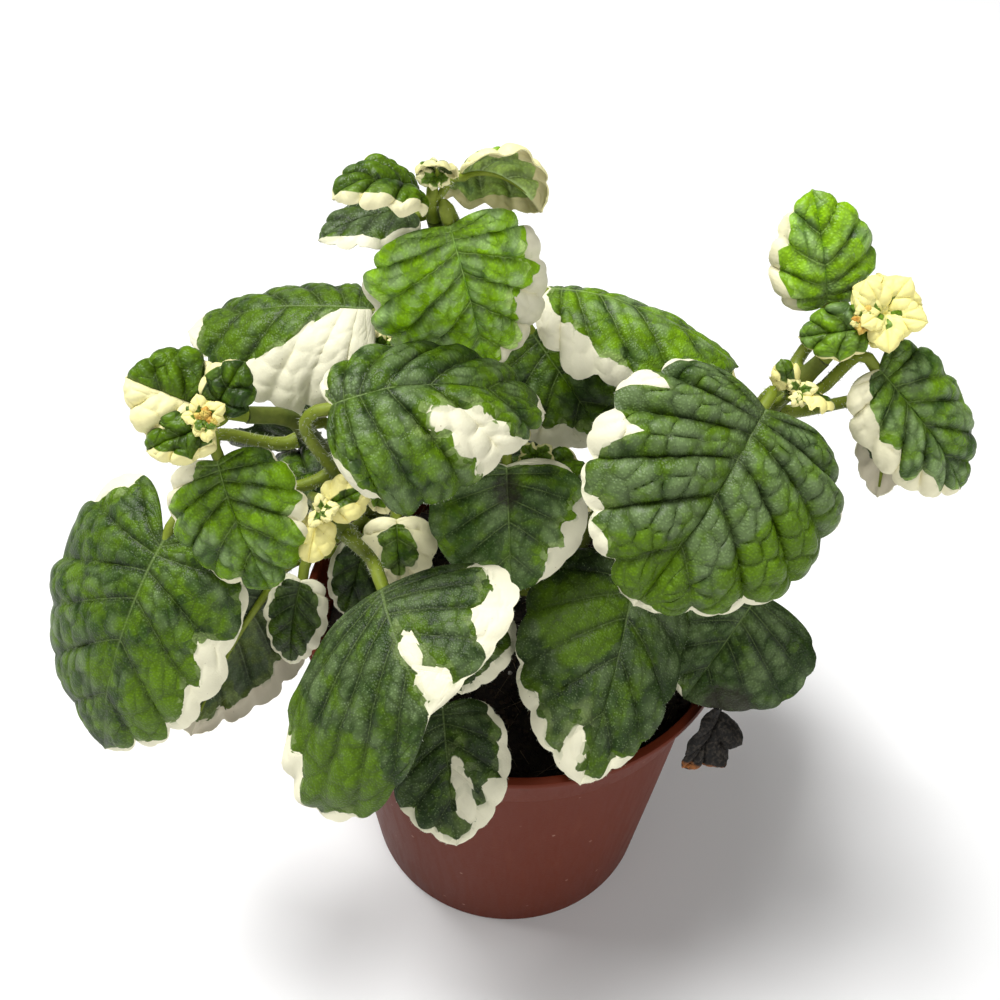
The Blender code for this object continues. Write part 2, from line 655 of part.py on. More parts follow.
def build_shoot(shoot, stem_axis):
    """One young shoot: its axis, seated on its stem, with its small leaves fused on."""
    axis = shoot_route(shoot, stem_axis)
    piece = mesh_object(shoot.name, *tube(*axis, SHOOT_SIDES))
    blades = []
    for leaf in YOUNG_LEAVES:
        if leaf.stem == shoot.name:
            leaf = leaf._replace(petiole=YOUNG_PETIOLE)
            stalk = petiole_arc(leaf, axis, -shoot.radius)
            blades.append(mesh_object(leaf.name, *leaf_shell(leaf, stalk, 1)))
    combine(piece, blades, "UNION")
    paint(piece, YOUNG_LEAF)


def main():
    """Build the whole plant."""
    for item in list(bpy.data.objects):
        bpy.data.objects.remove(item)
    build_pot()
    build_soil()
    axes = {stem.name: stem_route(stem) for stem in STEMS}
    for name, axis in axes.items():
        paint(mesh_object(name, *tube(*axis, STEM_SIDES)), GREEN_STEM)
    for leaf in LEAVES:
        build_leaf(leaf, axes[leaf.stem])
    for shoot in SHOOTS:
        build_shoot(shoot, axes[shoot.stem])


if __name__ == "__main__":
    main()
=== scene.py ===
"""The looks of a potted variegated Swedish ivy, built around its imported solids.

Every leaf, stem, shoot, the pot and the soil gets a finer piece in the place of its solid. Sizes
and places are in millimetres from the middle of the pot's foot. They are scaled and moved to the
row's frame once, as a mesh is made.
"""

import logging
import math
from collections.abc import Iterator
from contextlib import contextmanager
from dataclasses import dataclass, field, replace
from enum import Enum

import bpy
import numpy as np
from mathutils import Matrix, Vector


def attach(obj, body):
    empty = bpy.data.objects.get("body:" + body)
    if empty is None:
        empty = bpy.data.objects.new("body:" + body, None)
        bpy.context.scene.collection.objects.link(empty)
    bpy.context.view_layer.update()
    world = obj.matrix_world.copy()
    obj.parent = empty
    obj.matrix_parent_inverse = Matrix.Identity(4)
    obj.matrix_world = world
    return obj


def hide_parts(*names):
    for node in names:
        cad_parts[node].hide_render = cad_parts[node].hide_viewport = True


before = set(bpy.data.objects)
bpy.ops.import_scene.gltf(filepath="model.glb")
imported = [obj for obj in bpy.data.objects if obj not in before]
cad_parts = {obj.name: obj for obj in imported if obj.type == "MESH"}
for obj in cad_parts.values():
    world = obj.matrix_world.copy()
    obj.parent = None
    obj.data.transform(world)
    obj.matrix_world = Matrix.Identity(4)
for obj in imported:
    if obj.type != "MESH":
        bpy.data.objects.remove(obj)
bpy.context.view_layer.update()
LOG = logging.getLogger("ivy")

MM = 0.001
POT_PLACE = np.array([6.6, -1.3, 0.0])
ROOT_BODY = "root"
FLAT_MAP = "flat"
VEIN_MAP = "veins"
FLAT_SPAN = 100.0
COLOUR, NUMBER = "NodeSocketColor", "NodeSocketFloat"

# Where each kind of random draw starts
BLADE_SEED, LEAF_SEED, SPRIG_SEED = 1000, 2000, 3000
FAR_SIDE_SEED, LITTER_SEED = 71, 29
BLADE_LUMPS, BLADE_SKIN, SOIL_LUMPS, SOIL_GRAIN = 5, 6, 11, 12

Array = np.ndarray
Material = bpy.types.Material
Piece = bpy.types.Object
Socket = bpy.types.NodeSocket


class Half(Enum):
    """The two halves of a blade, seen from above with its tip away from the eye."""

    RIGHT = 1
    LEFT = -1


class Slot(Enum):
    """The record's material slots."""

    POT = "pot"
    SOIL = "soil"
    LEAF = "leaf"
    YOUNG_LEAF = "young_leaf"
    DRY_LEAF = "dry_leaf"
    STEM = "stem"


# ---- Small helpers for vectors and meshes


def unit(vector: Array) -> Array:
    """Return a vector at length one."""
    return vector / np.linalg.norm(vector)


def units(vectors: Array) -> Array:
    """Return each row of an array at length one."""
    return vectors / np.maximum(np.linalg.norm(vectors, axis=-1, keepdims=True), 1e-12)


def direction(heading: float, rise: float) -> Array:
    """Return the unit vector of a heading on the ground and a rise above it, in degrees."""
    turn, lift = math.radians(heading), math.radians(rise)
    return np.array([
        math.cos(lift) * math.cos(turn), math.cos(lift) * math.sin(turn), math.sin(lift),
    ])


def smooth_step(value: Array) -> Array:
    """Return a value eased from 0 to 1, flat at both ends."""
    value = np.clip(value, 0.0, 1.0)
    return value * value * (3.0 - 2.0 * value)


def bezier(points: tuple, share: Array) -> Array:
    """Return points of a cubic Bezier arc.

    Args:
        points: The arc's four control points.
        share: How far along the arc each point lies, from 0 to 1.

    Returns:
        One row for each share.
    """
    share = share[:, None]
    rest = 1.0 - share
    a, b, c, d = (np.array(point, float) for point in points)
    return rest**3 * a + 3 * rest**2 * share * b + 3 * rest * share**2 * c + share**3 * d


def lattice_noise(points: Array, seed: int) -> Array:
    """Return smooth random values from -1 to 1 at places in space, one lattice cell to a unit.

    Args:
        points: The places, one row each, with three columns.
        seed: Which of the random patterns it is.

    Returns:
        One value for each place.
    """
    table = np.random.default_rng(seed).uniform(-1.0, 1.0, (32, 32, 32))
    low = np.floor(points).astype(int)
    ease = smooth_step(points - low)
    total = np.zeros(len(points))
    for corner in range(8):
        step = np.array([corner & 1, corner >> 1 & 1, corner >> 2 & 1])
        share = np.prod(np.where(step == 1, ease, 1.0 - ease), axis=1)
        cell = (low + step) % 32
        total += share * table[cell[:, 0], cell[:, 1], cell[:, 2]]
    return total


def to_row(points: Array) -> Array:
    """Return places around the pot's axis, in millimetres, in the row frame, in metres."""
    return (np.asarray(points, float) + POT_PLACE) * MM


def deselect_all() -> None:
    """Leave nothing selected and nothing active in edit mode."""
    if bpy.context.object and bpy.context.object.mode != "OBJECT":
        bpy.ops.object.mode_set(mode="OBJECT")
    bpy.ops.object.select_all(action="DESELECT")


def activate(piece: Piece) -> None:
    """Select one piece alone and make it active."""
    deselect_all()
    piece.select_set(True)
    bpy.context.view_layer.objects.active = piece


@contextmanager
def edit_mode(piece: Piece) -> Iterator[None]:
    """Open a piece in edit mode with all of it selected, and close it at the end."""
    activate(piece)
    bpy.ops.object.mode_set(mode="EDIT")
    bpy.ops.mesh.select_all(action="SELECT")
    yield
    bpy.ops.object.mode_set(mode="OBJECT")


def place_in_scene(name: str, data: bpy.types.ID) -> Piece:
    """Return a new object with the given data, linked to the scene."""
    thing = bpy.data.objects.new(name, data)
    bpy.context.scene.collection.objects.link(thing)
    return thing


def settle(piece: Piece) -> None:
    """Bring a piece's place, turn and scale into its mesh."""
    activate(piece)
    bpy.ops.object.transform_apply(location=True, rotation=True, scale=True)


def apply_modifiers(piece: Piece) -> None:
    """Apply all of a piece's modifiers in order."""
    activate(piece)
    for modifier in list(piece.modifiers):
        bpy.ops.object.modifier_apply(modifier=modifier.name)


def merge_doubles(piece: Piece, distance: float) -> None:
    """Merge a piece's vertices that lie closer than a distance in millimetres."""
    with edit_mode(piece):
        bpy.ops.mesh.remove_doubles(threshold=distance * MM)


def shade(piece: Piece, angle: float) -> None:
    """Shade a piece smooth, with corners above an angle in degrees kept sharp."""
    activate(piece)
    bpy.ops.object.shade_smooth_by_angle(angle=math.radians(angle), keep_sharp_edges=False)


def set_points(piece: Piece, points: Array) -> None:
    """Move a piece's vertices to places in the row frame, in metres."""
    piece.data.vertices.foreach_set("co", np.ascontiguousarray(points, np.float32).ravel())
    piece.data.update()


def get_points(piece: Piece) -> Array:
    """Return a piece's vertices, one row each."""
    points = np.zeros(len(piece.data.vertices) * 3, np.float32)
    piece.data.vertices.foreach_get("co", points)
    return points.reshape(-1, 3).astype(float)


def write_attribute(piece: Piece, name: str, values: Array) -> None:
    """Store one number for each vertex of a piece under a name."""
    store = piece.data.attributes.new(name, "FLOAT", "POINT")
    store.data.foreach_set("value", np.ascontiguousarray(values, np.float32).ravel())


def write_uv(piece: Piece, name: str, places: Array) -> None:
    """Store a UV map that gives each vertex one place.

    Args:
        piece: The piece that gets the map.
        name: The map's name.
        places: One row of two numbers for each vertex.
    """
    mesh = piece.data
    corners = np.zeros(len(mesh.loops), np.int32)
    mesh.loops.foreach_get("vertex_index", corners)
    layer = mesh.uv_layers.new(name=name)
    layer.data.foreach_set("uv", np.ascontiguousarray(places[corners], np.float32).ravel())


def join(pieces: list, name: str) -> Piece:
    """Join pieces into the first of them and name it.

    Args:
        pieces: The pieces, at least one.
        name: The joined piece's name.

    Returns:
        The joined piece.
    """
    activate(pieces[0])
    for piece in pieces[1:]:
        piece.select_set(True)
    if len(pieces) > 1:
        bpy.ops.object.join()
    pieces[0].name = name
    pieces[0].data.name = name
    return pieces[0]


def scatter(
    template: Piece, name: str, places: Array, axes: Array, sizes: Array,
) -> Piece:
    """Set many copies of a small mesh at places, all in one new mesh of their own.

    Args:
        template: The mesh that is copied, modelled around the origin with its length along +Z.
        name: The new piece's name.
        places: Where each copy's origin goes, in metres.
        axes: The direction of each copy's +Z, one unit vector each.
        sizes: Each copy's scale across and along its axis, two columns.

    Returns:
        The new piece.
    """
    base = get_points(template)
    faces = [tuple(face.vertices) for face in template.data.polygons]
    helper = np.where(np.abs(axes[:, 2:]) < 0.9, np.array([[0.0, 0.0, 1.0]]), [[1.0, 0.0, 0.0]])
    side = units(np.cross(helper, axes))
    other = np.cross(axes, side)
    points = (
        places[:, None]
        + base[None, :, 0, None] * (side * sizes[:, :1])[:, None]
        + base[None, :, 1, None] * (other * sizes[:, :1])[:, None]
        + base[None, :, 2, None] * (axes * sizes[:, 1:])[:, None]
    ).reshape(-1, 3)
    count = len(base)
    copies = [
        tuple(corner + number * count for corner in face)
        for number in range(len(places)) for face in faces
    ]
    mesh = bpy.data.meshes.new(name)
    mesh.from_pydata(points.tolist(), [], copies)
    mesh.update()
    for material in template.data.materials:
        mesh.materials.append(material)
    return place_in_scene(name, mesh)


def finish_piece(piece: Piece, slot: Slot, *nodes: str) -> None:
    """Put a finished piece on the plant's body, in the place of its solids.

    Args:
        piece: The finished piece.
        slot: Not used.
        nodes: The solids that it stands for, if any.
    """
    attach(piece, ROOT_BODY)
    if nodes:
        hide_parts(*nodes)
    LOG.info("%s: %d faces", piece.name, len(piece.data.polygons))


# ---- Materials


class Wiring:
    """Adds nodes to a node tree and wires them."""

    def __init__(self, tree: bpy.types.NodeTree) -> None:
        """Start on a tree."""
        self.tree = tree

    def feed(self, node: bpy.types.Node, inputs: dict) -> bpy.types.Node:
        """Give a node its inputs.

        Args:
            node: The node.
            inputs: What goes into its sockets, by name or number: a socket to link or a value.

        Returns:
            The node.
        """
        for key, value in inputs.items():
            if isinstance(value, Socket):
                self.tree.links.new(value, node.inputs[key])
            else:
                node.inputs[key].default_value = value
        return node

    def add(self, kind: str, inputs: dict | None = None, **settings: object) -> bpy.types.Node:
        """Add a node.

        Args:
            kind: The node's type, without its ShaderNode prefix.
            inputs: What goes into its sockets, by name or number: a socket to link or a value.
            settings: The node's own settings.

        Returns:
            The node.
        """
        node = self.tree.nodes.new("ShaderNode" + kind)
        for key, value in settings.items():
            setattr(node, key, value)
        return self.feed(node, inputs or {})

    def math(self, operation: str, *values: object) -> Socket:
        """Return the result of a sum of the given kind on sockets or numbers."""
        return self.add("Math", dict(enumerate(values)), operation=operation).outputs[0]

    def plus(self, first: object, second: object) -> Socket:
        """Return one number plus another."""
        return self.math("ADD", first, second)

    def minus(self, first: object, second: object) -> Socket:
        """Return one number less another."""
        return self.math("SUBTRACT", first, second)

    def times(self, first: object, second: object) -> Socket:
        """Return one number times another."""
        return self.math("MULTIPLY", first, second)

    def line(self, value: object, slope: object, start: object) -> Socket:
        """Return a value times a slope, plus a start."""
        return self.math("MULTIPLY_ADD", value, slope, start)

    def ramp(
        self, value: object, low: float, high: float, start: float = 0.0, end: float = 1.0,
    ) -> Socket:
        """Return a value eased from start to end as it goes from low to high."""
        ends = {"From Min": low, "From Max": high, "To Min": start, "To Max": end}
        node = self.add("MapRange", {"Value": value, **ends}, interpolation_type="SMOOTHSTEP")
        return node.outputs[0]

    def mix(self, factor: object, first: object, second: object) -> Socket:
        """Return a colour between two colours."""
        return self.add("Mix", {0: factor, 6: first, 7: second}, data_type="RGBA").outputs[2]

    def tint(self, first: object, second: object) -> Socket:
        """Return a colour times another colour or a number."""
        return self.add("Mix", {0: 1.0, 6: first, 7: second}, data_type="RGBA",
                        blend_type="MULTIPLY").outputs[2]

    def shift(self, vector: object, offset: object, operation: str = "ADD") -> Socket:
        """Return the result of a sum of the given kind on two vectors."""
        return self.add("VectorMath", {0: vector, 1: offset}, operation=operation).outputs[0]

    def scaled(self, vector: object, factor: object) -> Socket:
        """Return a vector times a number."""
        return self.add("VectorMath", {0: vector, "Scale": factor}, operation="SCALE").outputs[0]

    def stretched(self, vector: object, scale: tuple) -> Socket:
        """Return a vector scaled along each axis."""
        return self.add("Mapping", {"Vector": vector, "Scale": scale}).outputs[0]

    def parts(self, vector: object) -> bpy.types.NodeOutputs:
        """Return a vector's three parts."""
        return self.add("SeparateXYZ", {0: vector}).outputs

    def channels(self, colour: object) -> bpy.types.NodeOutputs:
        """Return a colour's three channels."""
        return self.add("SeparateColor", {0: colour}).outputs

    def own_place(self) -> Socket:
        """Return the place in the piece's own space, in millimetres."""
        return self.scaled(self.add("TexCoord").outputs["Object"], 1.0 / MM)

    def stored(self, name: str) -> Socket:
        """Return a number that the piece's mesh stores under a name."""
        return self.add("Attribute", attribute_name=name).outputs["Fac"]

    def noise(self, vector: object, scale: object, detail: float = 2.0) -> bpy.types.NodeOutputs:
        """Return the outputs of a noise texture: its value, then its colour."""
        return self.add("TexNoise", {"Vector": vector, "Scale": scale, "Detail": detail}).outputs

    def cells(self, vector: object, scale: float) -> bpy.types.NodeOutputs:
        """Return the outputs of a cell texture."""
        return self.add("TexVoronoi", {"Vector": vector, "Scale": scale}).outputs

    def dress(
        self, shader: bpy.types.Node, colour: object, rough: object, height: object,
        relief: tuple, specular: float,
    ) -> None:
        """Give a Principled shader its colour, roughness, relief and gloss.

        Args:
            shader: The shader.
            colour: Its base colour.
            rough: Its roughness.
            height: The height of its relief.
            relief: The relief's strength and its depth in millimetres.
            specular: How strongly it reflects.
        """
        strength, depth = relief
        bump = self.add("Bump", {"Height": height, "Strength": strength, "Distance": depth * MM})
        self.feed(shader, {
            "Base Color": colour, "Roughness": rough, "Normal": bump.outputs[0],
            "Specular IOR Level": specular,
        })


class Group:
    """A shader node group that is built once, with named inputs and outputs."""

    def __init__(self, name: str, inputs: dict, outputs: dict) -> None:
        """Make the group's tree and sockets.

        Args:
            name: The group's name.
            inputs: Each input's name and socket type.
            outputs: Each output's name and socket type.
        """
        self.tree = bpy.data.node_groups.new(name, "ShaderNodeTree")
        for way, sockets in (("INPUT", inputs), ("OUTPUT", outputs)):
            for key, kind in sockets.items():
                self.tree.interface.new_socket(key, in_out=way, socket_type=kind)
        self.wiring = Wiring(self.tree)
        self.inputs = self.tree.nodes.new("NodeGroupInput").outputs
        self.outputs = self.tree.nodes.new("NodeGroupOutput").inputs

    def give(self, name: str, socket: Socket) -> None:
        """Wire a result to one of the group's outputs."""
        self.tree.links.new(socket, self.outputs[name])

    def place(self, wiring: Wiring, inputs: dict) -> bpy.types.NodeOutputs:
        """Place the group in another tree with its own values and return its outputs."""
        node = wiring.tree.nodes.new("ShaderNodeGroup")
        node.node_tree = self.tree
        return wiring.feed(node, inputs).outputs


def rgba(colour: tuple) -> tuple:
    """Return a colour with full cover."""
    return (*colour, 1.0)


def new_material(name: str) -> tuple[Material, Wiring, bpy.types.Node]:
    """Make a material with an empty Principled shader.

    Args:
        name: The material's name.

    Returns:
        The material, the wiring of its tree and its shader.
    """
    material = bpy.data.materials.new(name)
    material.use_nodes = True
    return material, Wiring(material.node_tree), material.node_tree.nodes["Principled BSDF"]


class BladePattern:
    """Builds the group that colours a blade: cream margins, greens, veins, fuzz and stains, with
    painted shade in its grooves and a painted sheen on its cushions.

    It reads the numbers that a blade's mesh stores: cream, in millimetres inside the cream part,
    bright and grey, the share of those greens, rib and pitch, the sizes of its veins, crease, the
    distance to the nearest small vein, swell, how high it lies on a cushion, stain, its age marks,
    and the leaf's own seed, grain, fuzz, youth and tone. The scales say how many features a
    pattern has to a millimetre.
    """

    COLOURS = ("Deep", "Bright", "Grey", "Cream", "Yellow", "Vein", "Half")
    NUMBERS = ("Fuzz", "Vein Strength")
    SWAY_SCALE, MOSAIC_SCALE, STIPPLE_SCALE = 0.45, 0.5, 1.9
    FLOW_SCALE, WANDER_SCALE, CLOUD_SCALE, RIPPLE_SCALE = 0.24, 0.16, 0.2, 0.7
    HAIR_TINT = (0.34, 0.42, 0.22, 1.0)
    CREAM_VEIN = (0.72, 0.76, 0.36, 1.0)
    FLECK = (0.2, 0.12, 0.05, 1.0)
    STAIN = (0.022, 0.018, 0.011, 1.0)
    RARE_FLECK = 0.985

    def __init__(self) -> None:
        """Start the group and lay out the patterns that all its parts share."""
        inputs = dict.fromkeys(self.COLOURS, COLOUR) | dict.fromkeys(self.NUMBERS, NUMBER)
        self.group = Group("blade markings", inputs,
                           {"Colour": COLOUR, "Roughness": NUMBER, "Height": NUMBER})
        self.w = w = self.group.wiring
        self.given = self.group.inputs
        place = w.add("UVMap", uv_map=FLAT_MAP).outputs["UV"]
        seed = w.add("CombineXYZ", {"Z": w.stored("seed")}).outputs[0]
        self.place = place = w.shift(w.scaled(place, FLAT_SPAN), seed)
        sway = w.shift(w.noise(place, self.SWAY_SCALE)["Color"], (0.5, 0.5, 0.5), "SUBTRACT")
        loose = w.shift(place, w.scaled(sway, 1.1))
        mosaic = w.channels(w.cells(loose, self.MOSAIC_SCALE)["Color"])
        self.large, self.patch = (w.minus(mosaic[number], 0.5) for number in (0, 1))
        self.clouds = w.noise(place, self.CLOUD_SCALE, 3.0)[0]
        self.ripples = w.noise(place, self.RIPPLE_SCALE, 3.0)[0]
        points = w.cells(place, self.STIPPLE_SCALE)
        self.dots = w.ramp(points["Distance"], 0.1, 0.34, 1.0, 0.0)
        self.pebble = w.ramp(points["Distance"], 0.1, 0.7, 1.0, 0.0)
        self.flecks = w.times(self.dots, w.ramp(w.channels(points["Color"])[0], self.RARE_FLECK,
                                                self.RARE_FLECK + 0.005))
        self.fuzz, self.swell = w.stored("fuzz"), w.stored("swell")
        self.crease, self.grain = w.stored("crease"), w.stored("grain")

    def margin(self) -> Socket:
        """Return how far inside the cream part a point lies, with that part's ragged edge."""
        w = self.w
        flow = w.minus(w.noise(self.place, self.FLOW_SCALE, 0.5)[0], 0.5)
        jitter = w.line(flow, 3.2, w.times(self.large, 0.7))
        return w.line(jitter, self.grain, w.stored("cream"))

    def lines(self) -> tuple[Socket, Socket]:
        """Return how much of a point is vein, and how much painted shade darkens it in a groove.
        """
        w = self.w
        row, side, _ = w.parts(w.add("UVMap", uv_map=VEIN_MAP).outputs["UV"])
        fold = w.math("ABSOLUTE", w.minus(row, w.math("ROUND", row)))
        width = w.times(w.stored("rib"), w.line(side, -0.3, 0.32))
        lateral = w.minus(w.times(fold, w.stored("pitch")), width)
        along, across, _ = w.parts(self.place)
        centre = w.math("ABSOLUTE", w.minus(across, FLAT_SPAN / 2))
        centre = w.minus(centre, w.times(w.stored("rib"), 0.4))
        midrib = w.times(w.ramp(centre, -0.15, 0.3, 1.0, 0.0), w.ramp(along, 2.0, 30.0, 1.0, 0.5))
        laterals = w.times(w.ramp(lateral, -0.15, 0.2, 1.0, 0.0), w.ramp(side, 1.0, 0.2))
        veins = w.math("MAXIMUM", midrib, w.times(laterals, 0.6))
        small = w.times(w.ramp(self.crease, 0.0, 0.3, 1.0, 0.0), 0.14)
        # Painted shade: the blade is darkened beside each side vein (shade) and along the small
        # veins (low), where its grooves lie.
        shade = w.times(w.ramp(lateral, 0.2, 1.4, 1.0, 0.0), w.ramp(side, 1.0, 0.5))
        low = w.times(w.ramp(self.crease, 0.0, 0.6, 1.0, 0.0), 0.3)
        return w.math("MAXIMUM", veins, small), w.math("MAXIMUM", shade, low)

    def greens(self, depth: object, veins: object, shade: object) -> Socket:
        """Return the colour of the green part.

        Args:
            depth: How far inside the cream part a point lies.
            veins: How much of it is vein.
            shade: How much painted shade darkens it in a groove.

        Returns:
            The colour.
        """
        w, given = self.w, self.given
        near_cream = w.times(w.ramp(depth, -3.2, -0.3), self.grain)
        bright = w.plus(w.stored("bright"), w.line(self.clouds, 1.8, -0.9))
        bright = w.line(self.large, 0.3, bright)
        bright = w.line(near_cream, 0.45, bright)
        bright = w.line(w.ramp(self.crease, 0.0, 1.6, 1.0, 0.0), 0.15, bright)
        bright = w.ramp(bright, 0.25, 0.85)
        wander = w.minus(w.noise(self.place, self.WANDER_SCALE, 1.0)[0], 0.5)
        # cushion_sheen is a painted sheen: the cushions' tops are pushed toward the grey green and
        # the grooves toward the deep green, less on hairy blades.
        cushion_sheen = w.times(w.line(self.swell, 0.7, -0.45), w.line(self.fuzz, -0.6, 1.0))
        grey = w.plus(w.line(wander, 1.7, w.stored("grey")), cushion_sheen)
        green = w.mix(w.ramp(grey, 0.1, 0.9), given["Deep"], given["Grey"])
        green = w.mix(bright, green, given["Bright"])
        green = w.tint(green, w.line(self.patch, 0.25, w.line(self.ripples, 0.6, 0.68)))
        half_tone = w.times(w.ramp(depth, -2.6, -1.4), w.ramp(self.patch, 0.02, 0.1))
        half_tone = w.times(w.times(half_tone, self.grain), 0.5)
        green = w.mix(half_tone, green, given["Half"])
        # Painted shade: the green is darker in the grooves, less so on hairy blades, and lighter
        # on the cushions' tops; the stipple adds pale dots.
        shade = w.times(w.line(shade, w.line(self.fuzz, 0.18, -0.6), 1.0),
                        w.line(self.swell, 0.3, 0.7))
        green = w.tint(green, w.line(self.pebble, 0.3, shade))
        green = w.mix(w.times(veins, given["Vein Strength"]), green, given["Vein"])
        green = w.tint(green, w.stored("tone"))
        haze = w.times(w.line(w.ramp(self.ripples, 0.4, 0.65), 0.6, 0.4), self.dots)
        haze = w.times(haze, w.line(bright, -0.6, 1.0))
        haze = w.times(w.times(haze, self.fuzz), given["Fuzz"])
        return w.mix(haze, green, self.HAIR_TINT)

    def creams(self, depth: object, veins: object) -> Socket:
        """Return the colour of the cream part.

        Args:
            depth: How far inside it a point lies.
            veins: How much of the point is vein.

        Returns:
            The colour.
        """
        w, given = self.w, self.given
        pale = w.mix(w.stored("youth"), given["Cream"], given["Yellow"])
        pale = w.tint(pale, w.line(self.clouds, 0.24, 0.88))
        pale = w.mix(w.times(veins, 0.2), pale, self.CREAM_VEIN)
        green_tint = w.times(w.ramp(depth, 1.6, 0.0), w.ramp(self.patch, 0.1, 0.3))
        pale = w.mix(w.times(green_tint, 0.3), pale, given["Half"])
        return w.mix(w.times(self.flecks, 0.5), pale, self.FLECK)

    def build(self) -> Group:
        """Build the group and return it."""
        w = self.w
        depth = self.margin()
        cream = w.ramp(depth, -0.1, 0.1)
        veins, shade = self.lines()
        colour = w.mix(cream, self.greens(depth, veins, shade), self.creams(depth, veins))
        stain = w.plus(w.stored("stain"), w.line(self.ripples, 1.2, -0.6))
        stain = w.times(w.ramp(stain, 0.3, 1.05), 0.85)
        self.group.give("Colour", w.mix(stain, colour, self.STAIN))
        gloss = w.line(self.fuzz, 0.1, w.line(self.ripples, 0.2, 0.3))
        self.group.give("Roughness", w.line(cream, 0.1, gloss))
        plain = w.ramp(w.stored("cream"), -0.8, 0.4, 0.08, 0.02)
        self.group.give("Height", w.line(veins, -0.1, w.times(self.pebble, plain)))
        return self.group


@dataclass(frozen=True)
class BladeFinish:
    """How one side of the blades looks."""

    name: str
    deep: tuple = (0.0155, 0.038, 0.003)
    bright: tuple = (0.060, 0.118, 0.001)
    # grey is partly the leaves' own grey-green and partly a painted sheen.
    grey: tuple = (0.080, 0.122, 0.042)
    cream: tuple = (0.80, 0.77, 0.57)
    yellow: tuple = (0.90, 0.82, 0.31)
    half: tuple = (0.18, 0.23, 0.09)
    vein: tuple = (0.13, 0.19, 0.055)
    fuzz: float = 0.3
    vein_strength: float = 0.65
    bump: float = 1.0
    specular: float = 0.22

    def material(self, group: Group) -> Material:
        """Build the material from the group that colours blades."""
        material, w, shader = new_material(self.name)
        inputs = {name: rgba(getattr(self, name.lower())) for name in BladePattern.COLOURS}
        inputs |= {"Fuzz": self.fuzz, "Vein Strength": self.vein_strength}
        colour, rough, height = group.place(w, inputs)
        w.dress(shader, colour, rough, height, (self.bump, 1.0), self.specular)
        return material


def mottle_group() -> Group:
    """Build the group that mottles a plain surface with two sizes of noise in its own place."""
    group = Group("mottling", dict.fromkeys(("Size", "Fine Size"), NUMBER),
                  dict.fromkeys(("Patches", "Grain"), NUMBER))
    w = group.wiring
    place = w.own_place()
    for socket, size in (("Patches", "Size"), ("Grain", "Fine Size")):
        scale = w.math("DIVIDE", 1.0, group.inputs[size])
        group.give(socket, w.noise(place, scale, 3.0)[0])
    return group


@dataclass(frozen=True)
class PlainFinish:
    """A mottled surface: two tones, the sizes of their patches and grain, and how rough it is."""

    name: str
    tone: tuple
    other: tuple
    patch: float = 5.0
    grain: float = 0.8
    roughness: float = 0.5
    spread: float = 0.15
    bump: float = 0.1
    contrast: float = 0.5
    specular: float = 0.25

    def material(self, group: Group) -> Material:
        """Build the material from the group that mottles surfaces."""
        material, w, shader = new_material(self.name)
        patches, grain = group.place(w, {"Size": self.patch, "Fine Size": self.grain})
        colour = w.mix(w.ramp(patches, 0.3, 0.7), rgba(self.tone), rgba(self.other))
        colour = w.tint(colour, w.line(grain, self.contrast, 1.0 - self.contrast / 2))
        rough = w.line(grain, self.spread, self.roughness - self.spread / 2)
        w.dress(shader, colour, rough, grain, (1.0, self.bump), self.specular)
        return material


@dataclass(frozen=True)
class PotFinish:
    """Moulded terracotta-coloured plastic with dust, scuffs and darker patches in bands below
    its lip and at its collar's step.
    """

    name: str = "pot_plastic"
    body: tuple = (0.116, 0.0195, 0.0070)
    lip: tuple = (0.125, 0.020, 0.006)
    dust: tuple = (0.36, 0.20, 0.15)
    band_dark: tuple = (0.030, 0.018, 0.012)
    collar: float = 79.0
    lip_foot: float = 89.6
    relief: tuple = (0.5, 0.06)
    specular: float = 0.12

    def banded_darkening(self, w: Wiring, place: object, height: object) -> Socket:
        """Return how much a point is darkened: patches in bands just below the lip and at the
        collar's step.

        Args:
            w: The wiring of the material's tree.
            place: The place in the pot's own space, in millimetres.
            height: The height above the pot's foot.

        Returns:
            A share from 0 to 1.
        """
        patches = w.noise(w.stretched(place, (1.0, 1.0, 0.5)), 0.35, 5.0)[0]
        under_lip = w.times(w.ramp(height, self.lip_foot - 4.0, self.lip_foot - 0.2),
                            w.ramp(height, self.lip_foot + 0.3, self.lip_foot - 0.1))
        at_step = w.times(w.ramp(height, self.collar - 3.0, self.collar - 0.6),
                          w.ramp(height, self.collar + 0.4, self.collar - 0.4))
        return w.times(w.ramp(patches, 0.55, 0.66),
                       w.math("MAXIMUM", under_lip, w.times(at_step, 0.6)))

    def material(self) -> Material:
        """Build the material, which follows the pot's own height."""
        material, w, shader = new_material(self.name)
        place = w.own_place()
        height = w.parts(place)[2]
        broad, fine = w.noise(place, 0.05, 4.0)[0], w.noise(place, 1.6, 3.0)[0]
        streaks = w.noise(w.stretched(place, (0.5, 0.5, 0.05)), 1.0, 3.0)[0]
        colour = w.mix(w.ramp(broad, 0.3, 0.7, 0.0, 0.25), rgba(self.body), rgba(self.lip))
        colour = w.mix(w.ramp(streaks, 0.5, 0.8, 0.0, 0.07), colour, rgba(self.dust))
        lip = w.ramp(height, self.lip_foot - 0.4, self.lip_foot + 0.2)
        colour = w.mix(w.times(lip, 0.85), colour, rgba(self.lip))
        specks = w.cells(place, 0.22)
        rare = w.ramp(w.channels(specks["Color"])[0], 0.72, 0.78)
        speck = w.times(w.ramp(specks["Distance"], 0.06, 0.12, 1.0, 0.0), rare)
        colour = w.mix(w.times(speck, 0.7), colour, rgba(self.dust))
        # Darker patches in bands below the lip and at the collar's step.
        colour = w.mix(w.times(self.banded_darkening(w, place, height), 0.85), colour, rgba(self.band_dark))
        rough = w.plus(w.line(fine, 0.12, 0.42), w.ramp(streaks, 0.4, 0.8, 0.0, 0.12))
        w.dress(shader, colour, rough, fine, self.relief, self.specular)
        return material


